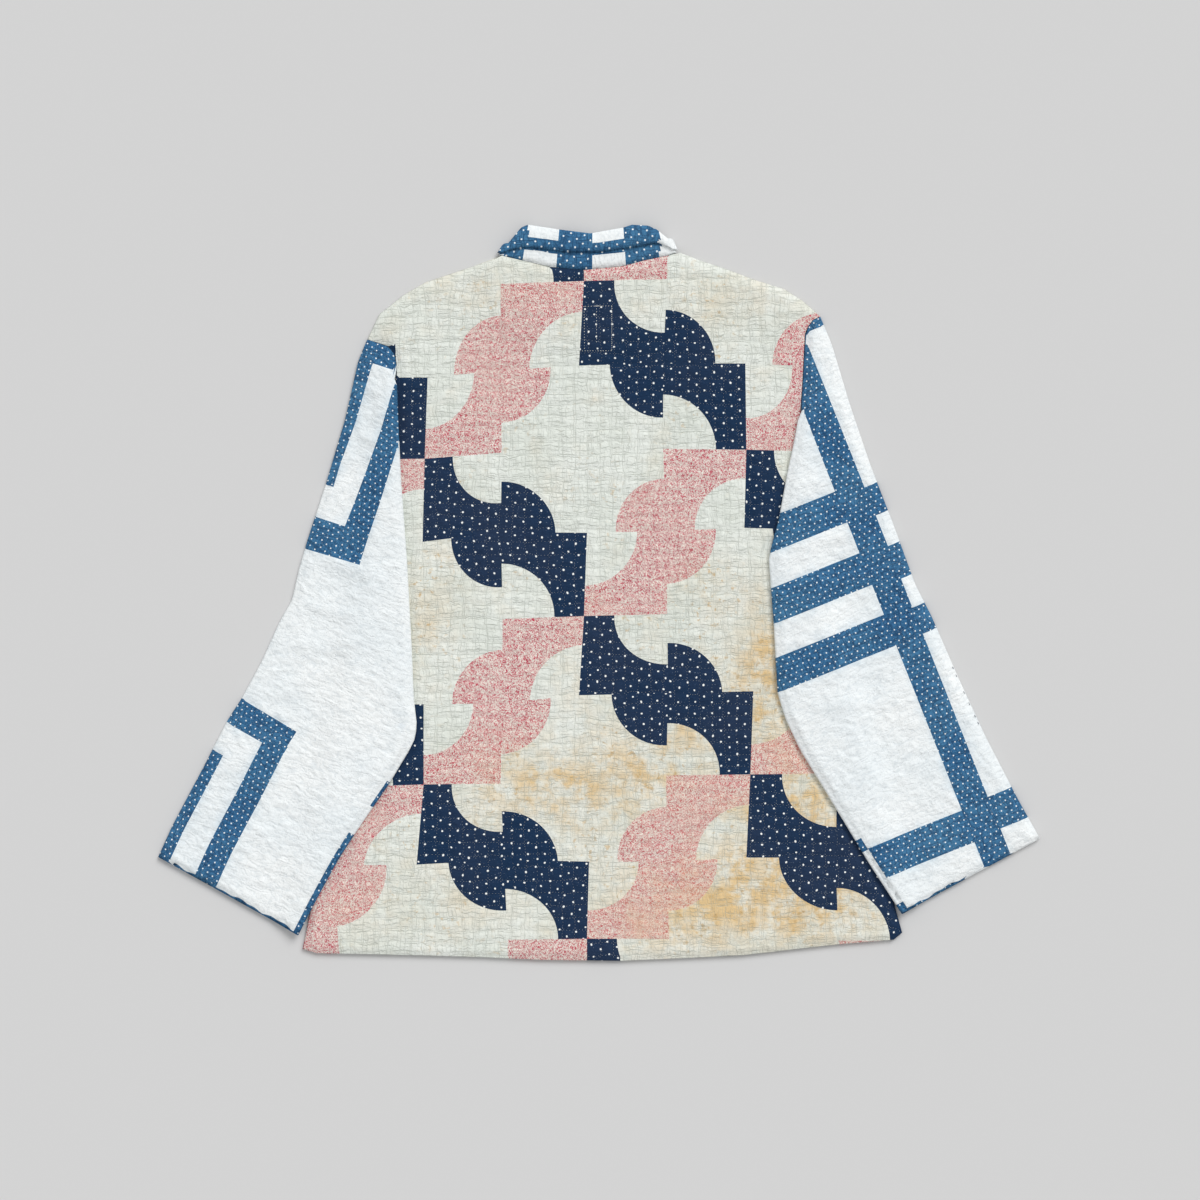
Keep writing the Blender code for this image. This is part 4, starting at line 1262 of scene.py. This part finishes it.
    def relief(self, points, edge, creases, quilting, strips, seed):
        """Padding, puckers and creases of the upper layer over its plain top."""
        pillows = quilting.pillows(points)
        seam = smooth(strips.seams(points) / 3.0)
        bent = np.asarray(points)[:, :2] + 9.0 * np.stack([swell(points, 45.0, seed + 8.0),
                                                           swell(points, 45.0, seed + 9.0)], axis=1)
        slanted = np.stack([(bent[:, 0] * 0.9 - bent[:, 1] * 0.44) * 0.55, bent[:, 0] * 0.44 + bent[:, 1] * 0.9], axis=1)
        ridges = np.abs(swell(slanted, 8.0, seed)) ** 0.7 * 2.0
        pucker = ridges + np.abs(swell(points, 6.5, seed + 1.0)) * 0.6 + swell(points, 4.2, seed + 2.0) * 0.15
        padding = (0.3 * pillows + pucker) * (0.45 + 0.55 * seam)
        waves = 1.1 * (1.0 + swell(points, 70.0, seed + 4.0)) + 0.8 * (1.0 + swell(points, 28.0, seed + 6.0))
        fade = smooth(distance(points, edge) / 7.0)
        raised = np.maximum(0.0, padding + waves + fold_lines(points, creases)) * fade
        return raised - (raised + LEDGE_DROP) * strips.step_down(points) * smooth(distance(points, edge) / 1.5)

    def make(self, name, strips, creases, seed, fabrics):
        """The sleeve's sheet, its upper layer quilted between the two folds."""
        cloth = Cloth(name)
        fixed = {self.fold_share, self.corner_share, 1.0}
        for line in (self.outer, self.inner):
            fixed |= {s for s in strips.changes(line) if 0.01 < s < self.fold_share}
        fixed = sorted(fixed)
        even = [i / SLEEVE_ROWS for i in range(SLEEVE_ROWS)]
        shares = sorted(fixed + [s for s in even if min(abs(s - f) for f in fixed) > ROW_SPARE / SLEEVE_ROWS])
        rows = [self.row(share) for share in shares]
        start, end = rows[0][2], rows[0][3]
        outside = [row[0] for row in rows]
        within = [row[1] for row in rows]
        lower = slice(SLEEVE_COLUMNS - 1, None, -1)
        tuck = slice(-1, -3, -1)
        for surface, hidden in ((within, True), (outside, False)):
            cloth.grid([row[lower] for row in surface], hidden=hidden)
            cloth.grid([row[SLEEVE_COLUMNS - 1:start + 1] for row in surface], hidden=hidden)
            cloth.grid([row[end - 1:-1] for row in surface], hidden=hidden)
            cloth.grid([row[tuck] for row in surface], hidden=hidden)
        cloth.grid([row[start:end] for row in within], hidden=True)
        cloth.grid([outside[0], within[0]])
        cloth.grid([outside[-1], within[-1]])
        cloth.grid([[row[0] for row in outside], [row[0] for row in within]])
        cloth.grid([[row[-1] for row in outside], [row[-1] for row in within]])
        rim = outside[0][start:end]
        rim += [row[end - 1] for row in outside[1:]]
        rim += outside[-1][start:end - 1][::-1]
        rim += [row[start] for row in outside[1:-1]][::-1]
        closed = [p[:2] for p in rim] + [rim[0][:2]]
        quilting = Quilting(self.heading, seed)

        def height(points):
            relief = self.relief(points, closed, creases, quilting, strips, seed)
            return BACK_LEVEL + WALL + self.lift(points) + relief

        lattice = quilting.lattice(rim, 1.5)
        lattice = lattice[strips.seams(lattice) > 0.9]
        cloth.patch(rim, lattice, strips.lines(), height)
        return cloth.finish(quilting, strips.fabric, fabrics, True, strips.bleed), height, quilting, closed


# Collar

def collar_section(height, fall_edge, front, relief=0.0):
    """The band's section at one place round the neck, as points of height up the stand and layer offset.

    The stand rises from the neck seam, turns over at the fold and falls outside itself. Where the
    front share is 1 the stand's lower end drops to the level of the fronts.
    """
    near, far = GAP / 2, WALL + GAP / 2
    fold = height - ROLL
    drape = max(GAP, min(STAND_DRAPE, fall_edge - WALL))
    rises = [0.0, drape / 2, drape, fold]

    def drop(h):
        return front * NECK_RISE * (1.0 - float(smooth(h / drape)))

    section = [(h, near + drop(h)) for h in rises]
    middle = far + GAP / 2
    for i in range(1, ROLL_STEPS):
        turn = math.pi * i / ROLL_STEPS
        section.append((fold + ROLL * math.sin(turn), middle - ROLL * math.cos(turn)))
    fall_steps = 6
    for i in range(fall_steps + 1):
        share = i / fall_steps
        h = fold + (fall_edge - fold) * share
        section.append((h, middle + ROLL + relief * math.sin(math.pi * share) ** 0.5))
    section.append((fall_edge, middle + GAP / 2))
    section.append((fold, middle + GAP / 2))
    section.append((fold + GAP / 2, middle))
    section += [(h, far + drop(h)) for h in reversed(rises)]
    return section


COLLAR_STAND_BLUES = [(-100, -79), (-44, -9), (26, 62)]
COLLAR_FALL_BLUES = [(-120, -74), (-43, -9), (25, 62)]
COLLAR_STRIPS = [(-74, -43), (-9, 25)]


def collar_fabric(points):
    """Blue strips across the collar, with a blue edge along the fall in between."""
    x, y = points[:, 0], points[:, 1]
    edge = np.array([at_x(COLLAR_FALL_EDGE, value) for value in x])
    fold = np.array([at_x(COLLAR_FOLD, value) for value in x])
    on_fall = y > edge - 0.6
    blue = np.zeros(len(points), bool)
    for low, high in COLLAR_STAND_BLUES:
        blue |= ~on_fall & (x > low) & (x < high)
    for low, high in COLLAR_FALL_BLUES:
        blue |= on_fall & (x > low) & (x < high)
    for low, high in COLLAR_STRIPS:
        blue |= on_fall & (x > low) & (x < high) & (y < edge + 0.5 * (fold - edge))
    front = y < np.array([at_x(NECK_SEAM + [(-103, 349), (77, 352)], value) for value in x]) - 2.0
    blue = np.where(front, np.sin(x / 9.0) > 0.0, blue)
    return np.where(blue, BLUE, WHITE), np.zeros(len(points), int) + 3


def make_collar(fabrics):
    """The collar: a quilted band laid flat round the neck opening, with its ends at the centre front."""
    cloth = Cloth("collar_quilt")
    middle = WALL * 2 + GAP * 1.5
    base_arc = neck_arc(GAP, COLLAR_STATIONS)
    left_end, right_end = base_arc[0], base_arc[-1]
    fold_left, fold_right = COLLAR_FOLD[0], COLLAR_FOLD[-1]
    count = COLLAR_STATIONS
    stations = []

    def station(base, fold, fall_edge, front, turn, outward, relief=0.0):
        """One section of the band, turned about the neck's side by the turn, 0 on the back."""
        height = math.dist(base, fold)
        up = (Vector(fold) - Vector(base)).normalized()
        edge = min(fall_edge, height - ROLL - 1.0)
        loop = []
        for h, offset in collar_section(height, edge, front, relief):
            aside = offset * math.sin(turn) * outward
            x = base[0] + up.x * h + aside
            loop.append((x, base[1] + up.y * h, middle + offset * math.cos(turn)))
        return loop

    def front_stations(order, side):
        """Sections under the back, from or to the centre front, on one side of it."""
        out = []
        for i in order:
            turn = math.pi * (1.0 - i / count)
            ends = fold_left[1] + (fold_right[1] - fold_left[1]) * i / count
            reach = (fold_right[0] - fold_left[0]) / 2
            centre = (fold_right[0] + fold_left[0]) / 2
            fold_drop = ends - (base_arc[count // 2][1] + FALL_DEPTH + STAND_DRAPE + ROLL)
            fold = (centre + reach * math.cos(turn), ends - fold_drop * math.sin(turn))
            base = base_arc[i]
            if i == count // 2:
                base = (NECK_MIDDLE + side * FRONT_GAP / 2, base[1])
                fold = (NECK_MIDDLE + side * FRONT_GAP / 2, fold[1])
            base = (base[0], base[1] + GAP)
            height = math.dist(base, fold)
            share_front = float(smooth(math.sin(turn) / 0.4))
            fall = height * (1.0 - share_front) * FALL_SHARE + (height - FALL_DEPTH) * share_front
            out.append(station(base, fold, max(fall, 2.0), share_front, math.pi, 0.0))
        return out

    stations += front_stations(range(count // 2, -1, -1), -1.0)
    base = (left_end[0], left_end[1] + GAP)
    for i in range(1, ROLL_STEPS):
        turn = math.pi * (1.0 - i / ROLL_STEPS)
        stations.append(station(base, fold_left, math.dist(base, fold_left) * FALL_SHARE, 0.0, turn, -1.0))
    right_base = (right_end[0], right_end[1] + GAP)
    for i in range(count + 1):
        share = i / count
        x = base[0] + (right_base[0] - base[0]) * share
        y = at_x(NECK_SEAM + [base, right_base], x) + GAP
        if i in (0, count):
            y = base[1] if i == 0 else right_base[1]
        fold_x = fold_left[0] + (fold_right[0] - fold_left[0]) * share
        fold = (fold_x, at_x(COLLAR_FOLD, fold_x))
        fall = at_x(COLLAR_FALL_EDGE, x) - y
        if i in (0, count):
            fall = math.dist((x, y), fold) * FALL_SHARE
        relief = 1.1 + 0.9 * abs(math.sin(math.pi * x / PITCH)) + 0.5 * noise.noise((x / 9.0, 0.0, 2.0))
        relief *= float(smooth(min(i, count - i) / 4.0))
        stations.append(station((x, y), fold, max(fall, 1.0), 0.0, 0.0, 0.0, relief))
    for i in range(1, ROLL_STEPS):
        turn = math.pi * i / ROLL_STEPS
        fall = math.dist(right_base, fold_right) * FALL_SHARE
        stations.append(station(right_base, fold_right, fall, 0.0, turn, 1.0))
    stations += front_stations(range(count, count // 2 - 1, -1), 1.0)
    cloth.grid(stations, closed=True)
    cloth.face(stations[0])
    cloth.face(stations[-1])
    return cloth.finish(BODY_QUILTING, collar_fabric, fabrics, False, lambda points: np.zeros(len(points)))


FALL_SHARE = 0.2


# Thread

def thread_material(name, colour):
    fabric = Fabric(name)
    fibre = fabric.between(fabric.noise(fabric.place, 900.0, 2.0), 0.3, 0.7)
    base = fabric.mix(fabric.math("MULTIPLY", fibre, 0.4), colour, srgb(214, 210, 196))
    fabric.put(fabric.shader.inputs["Base Color"], base)
    fabric.shader.inputs["Roughness"].default_value = 0.8
    return fabric.material


def make_stitches(name, middles, along, height, length, width, material):
    """Many short stitches in one mesh, each a slim bar that dips into the cloth at both ends."""
    levels = height(middles)
    count = len(middles)
    length = np.broadcast_to(length, count)[:, None]
    side = np.stack([-along[:, 1], along[:, 0]], axis=1)
    corners = np.zeros((count, 6, 3))
    for i, (forward, sideways, up) in enumerate(STITCH_CORNERS):
        corners[:, i, :2] = middles + along * (forward * length / 2) + side * (sideways * width / 2)
        corners[:, i, 2] = levels + up * width
    faces = (np.arange(count)[:, None, None] * 6 + np.array(STITCH_FACES)[None]).reshape(-1, 3)
    data = bpy.data.meshes.new(name)
    data.from_pydata(((corners.reshape(-1, 3) - (*MIDDLE, 0.0)) * MM).tolist(), [], faces.tolist())
    data.shade_smooth()
    data.materials.append(material)
    piece = bpy.data.objects.new(name, data)
    bpy.context.scene.collection.objects.link(piece)
    return piece


STITCH_CORNERS = [(-1, 0, -0.15), (0, -1, 0.1), (0, 0, 0.45), (0, 1, 0.1), (0, 0, -0.25), (1, 0, -0.15)]
STITCH_FACES = [(0, 1, 2), (0, 2, 3), (0, 3, 4), (0, 4, 1), (5, 2, 1), (5, 3, 2), (5, 4, 3), (5, 1, 4)]


def quilting_stitches(quilting, outline, per_line, keep):
    """Middles and headings of the running stitches along every quilting line within an outline."""
    reach = math.ceil(max(math.hypot(*p[:2]) for p in outline) / quilting.pitch) + 1
    lines = np.arange(-reach, reach + 1)
    steps = (np.arange(-reach * per_line, reach * per_line) + 0.5) / per_line
    first = np.stack(np.meshgrid(lines, steps), axis=-1).reshape(-1, 2)
    middles = []
    headings = []
    for places, step in ((first, (0.0, 0.08)), (first[:, ::-1], (0.08, 0.0))):
        even = places * quilting.pitch @ quilting.axes
        low, high = np.min(np.array(outline)[:, :2], axis=0), np.max(np.array(outline)[:, :2], axis=0)
        places = places[np.all((even > low) & (even < high), axis=1)]
        here = quilting.points(places)
        run = quilting.points(places + step) - here
        middles.append(here)
        headings.append(run / np.hypot(run[:, 0], run[:, 1])[:, None])
    middles, headings = np.concatenate(middles), np.concatenate(headings)
    kept = inside(middles, outline) & (distance(middles, list(outline) + [outline[0]]) > 2.5) & keep(middles)
    return middles[kept], headings[kept]


def stitched_run(line, step):
    """Middles and headings of stitches at even steps along a line of points."""
    places = np.arange(step / 2, run_length(line), step)
    middles = np.array([at_length(line, s) for s in places])
    ahead = np.array([at_length(line, s + 0.1) for s in places]) - [at_length(line, s - 0.1) for s in places]
    return middles, ahead / np.hypot(ahead[:, 0], ahead[:, 1])[:, None]


# Lines of white running stitch over the navy patch at the neck, with the step between stitches
MENDED_RUNS = [
    ([(12.2, 296.5), (12.2, 250.2)], 2.0),
    ([(-22.2, 250.0), (12.2, 250.2)], 2.7),
    ([(-16.1, 251.0), (-16.5, 296.0)], 2.9),
    ([(-3.6, 295.0), (-3.6, 259.0)], 3.1),
    ([(-16.5, 296.0), (12.2, 296.5)], 3.0),
]
LOOSE_ENDS = [((-3.6, 296.3), (1.0, 0.04), 13.0), ((269.4, -273.5), (1.0, 0.1), 6.0)]
# Stitches of navy thread over the right sleeve's outer edge, as lengths along it
EDGE_STITCHES = [136.0, 144.0, 158.0, 171.0, 190.0, 199.0]
EDGE_INSET = 1.2


def edge_run():
    """Middles and headings of the stitches over the right sleeve's outer edge."""
    middles = np.array([at_length(RIGHT_OUTER, s) for s in EDGE_STITCHES])
    ahead = np.array([at_length(RIGHT_OUTER, s + 2.0) for s in EDGE_STITCHES]) - middles
    ahead /= np.hypot(ahead[:, 0], ahead[:, 1])[:, None]
    return middles + EDGE_INSET * np.stack([-ahead[:, 1], ahead[:, 0]], axis=1), ahead


# Stage

def make_stage():
    """A plain pale floor, soft light from beyond the right shoulder and a camera straight above."""
    data = bpy.data.meshes.new("floor")
    size = 6.0
    data.from_pydata([(-size, -size, 0), (size, -size, 0), (size, size, 0), (-size, size, 0)], [], [(0, 1, 2, 3)])
    material = bpy.data.materials.new("floor")
    material.use_nodes = True
    shader = material.node_tree.nodes["Principled BSDF"]
    shader.inputs["Base Color"].default_value = srgb(*FLOOR_COLOUR)
    shader.inputs["Roughness"].default_value = 0.95
    shader.inputs["Specular IOR Level"].default_value = 0.0
    data.materials.append(material)
    floor = bpy.data.objects.new("floor", data)
    bpy.context.scene.collection.objects.link(floor)
    world = bpy.data.worlds.new("studio")
    world.use_nodes = True
    world.node_tree.nodes["Background"].inputs["Color"].default_value = (1.0, 1.0, 1.0, 1.0)
    world.node_tree.nodes["Background"].inputs["Strength"].default_value = WORLD_STRENGTH
    bpy.context.scene.world = world
    for name, place, spread, power in LIGHTS:
        light = bpy.data.lights.new(name, "SUN")
        light.angle = spread
        light.energy = power
        lamp = bpy.data.objects.new(name, light)
        lamp.location = place
        lamp.rotation_euler = (-Vector(place)).to_track_quat("-Z", "Y").to_euler()
        bpy.context.scene.collection.objects.link(lamp)
    camera = bpy.data.cameras.new("camera")
    camera.lens = 85.0
    camera.sensor_width = 36.0
    view = bpy.data.objects.new("camera", camera)
    view.location = CAMERA_PLACE
    bpy.context.scene.collection.objects.link(view)
    bpy.context.scene.camera = view
    bpy.context.scene.view_settings.view_transform = "Standard"
    bpy.context.scene.view_settings.look = "None"


FLOOR_COLOUR = (212, 212, 212)
WORLD_STRENGTH = 0.5
LIGHTS = [("key", (1.3, 2.0, 2.3), 0.6, 1.85), ("fill", (-1.8, 1.2, 2.6), 1.0, 0.35)]
CAMERA_PLACE = (0.001, -0.0073, 2.947)


def main():
    body = [cream_cotton(), navy_cotton(), pink_cotton(), backing_cotton()]
    quilt = [white_cotton(), blue_cotton("blue_cotton", 5.4, 7.2, 0.75), backing_cotton()]
    back, back_height = make_back(body)
    fronts = make_fronts(body)
    left = Sleeve(LEFT_OUTER, LEFT_INNER, ARM_SEAM_LEFT[::-1], LEFT_TOP_POINTS, UNDERARM_LEFT, HEM_LEFT)
    right = Sleeve(RIGHT_OUTER, RIGHT_INNER, ARM_SEAM_RIGHT, RIGHT_TOP_POINTS, UNDERARM_RIGHT, HEM_RIGHT)
    left_made = left.make("sleeve_left_quilt", Strips(left_strips(), left_ledges()), LEFT_CREASES, 21.0, quilt)
    right_made = right.make("sleeve_right_quilt", Strips(right_strips(), right_ledges()), RIGHT_CREASES, 31.0, quilt)
    collar = make_collar([quilt[0], blue_cotton("collar_cotton", 7.0, 9.4, 0.95)])
    pieces = [
        (back, "back", "quilt_body", (0.64, 0.74), 0.345, ["front_left", "front_right"]),
        (fronts[0], "front_left", "quilt_body", (0.30, 0.74), 0.163, ["floor"]),
        (fronts[1], "front_right", "quilt_body", (0.33, 0.74), 0.174, ["floor"]),
        (left_made[0], "sleeve_left", "quilt_sleeve", (0.40, 0.62), 0.152, ["back", "floor"]),
        (right_made[0], "sleeve_right", "quilt_sleeve", (0.40, 0.62), 0.155, ["back", "floor"]),
        (collar, "collar", "quilt_collar", (0.40, 0.06), 0.0194, ["back", "front_left", "front_right"]),
    ]
    white = thread_material("quilting_thread", srgb(196, 200, 200))
    bright = thread_material("mending_thread", srgb(244, 244, 238))
    outline = body_outline(PITCH)[0]
    middles, headings = quilting_stitches(BODY_QUILTING, outline, 4, lambda p: under_sleeves(p) < 0.6)
    extras = [(make_stitches("back_stitches", middles, headings, back_height, 1.6, 0.3, white), "quilt_body")]
    runs = [stitched_run(line, step) for line, step in MENDED_RUNS]
    middles = np.concatenate([run[0] for run in runs] + [[end[0] for end in LOOSE_ENDS]])
    headings = np.concatenate([run[1] for run in runs] + [[end[1] for end in LOOSE_ENDS]])
    lengths = [1.5] * (len(middles) - len(LOOSE_ENDS)) + [end[2] for end in LOOSE_ENDS]
    mended = make_stitches("mended_stitches", middles, headings, back_height, lengths, 0.75, bright)
    extras.append((mended, "quilt_body"))
    for name, made in (("sleeve_left_stitches", left_made), ("sleeve_right_stitches", right_made)):
        _, height, quilting, closed = made
        middles, headings = quilting_stitches(quilting, closed[:-1], 3, lambda p: np.ones(len(p), bool))
        extras.append((make_stitches(name, middles, headings, height, 1.7, 0.3, white), "quilt_sleeve"))
    navy = thread_material("navy_thread", srgb(44, 56, 96))
    over_edge = make_stitches("edge_stitches", *edge_run(), lambda p: right_made[1](p) - 0.3, 4.0, 0.7, navy)
    extras.append((over_edge, "quilt_sleeve"))
    make_stage()
    for piece, node, slot, flat, area, rests_on in pieces:
        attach(piece, "root")
        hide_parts(node)
    for piece, slot in extras:
        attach(piece, "root")


main()
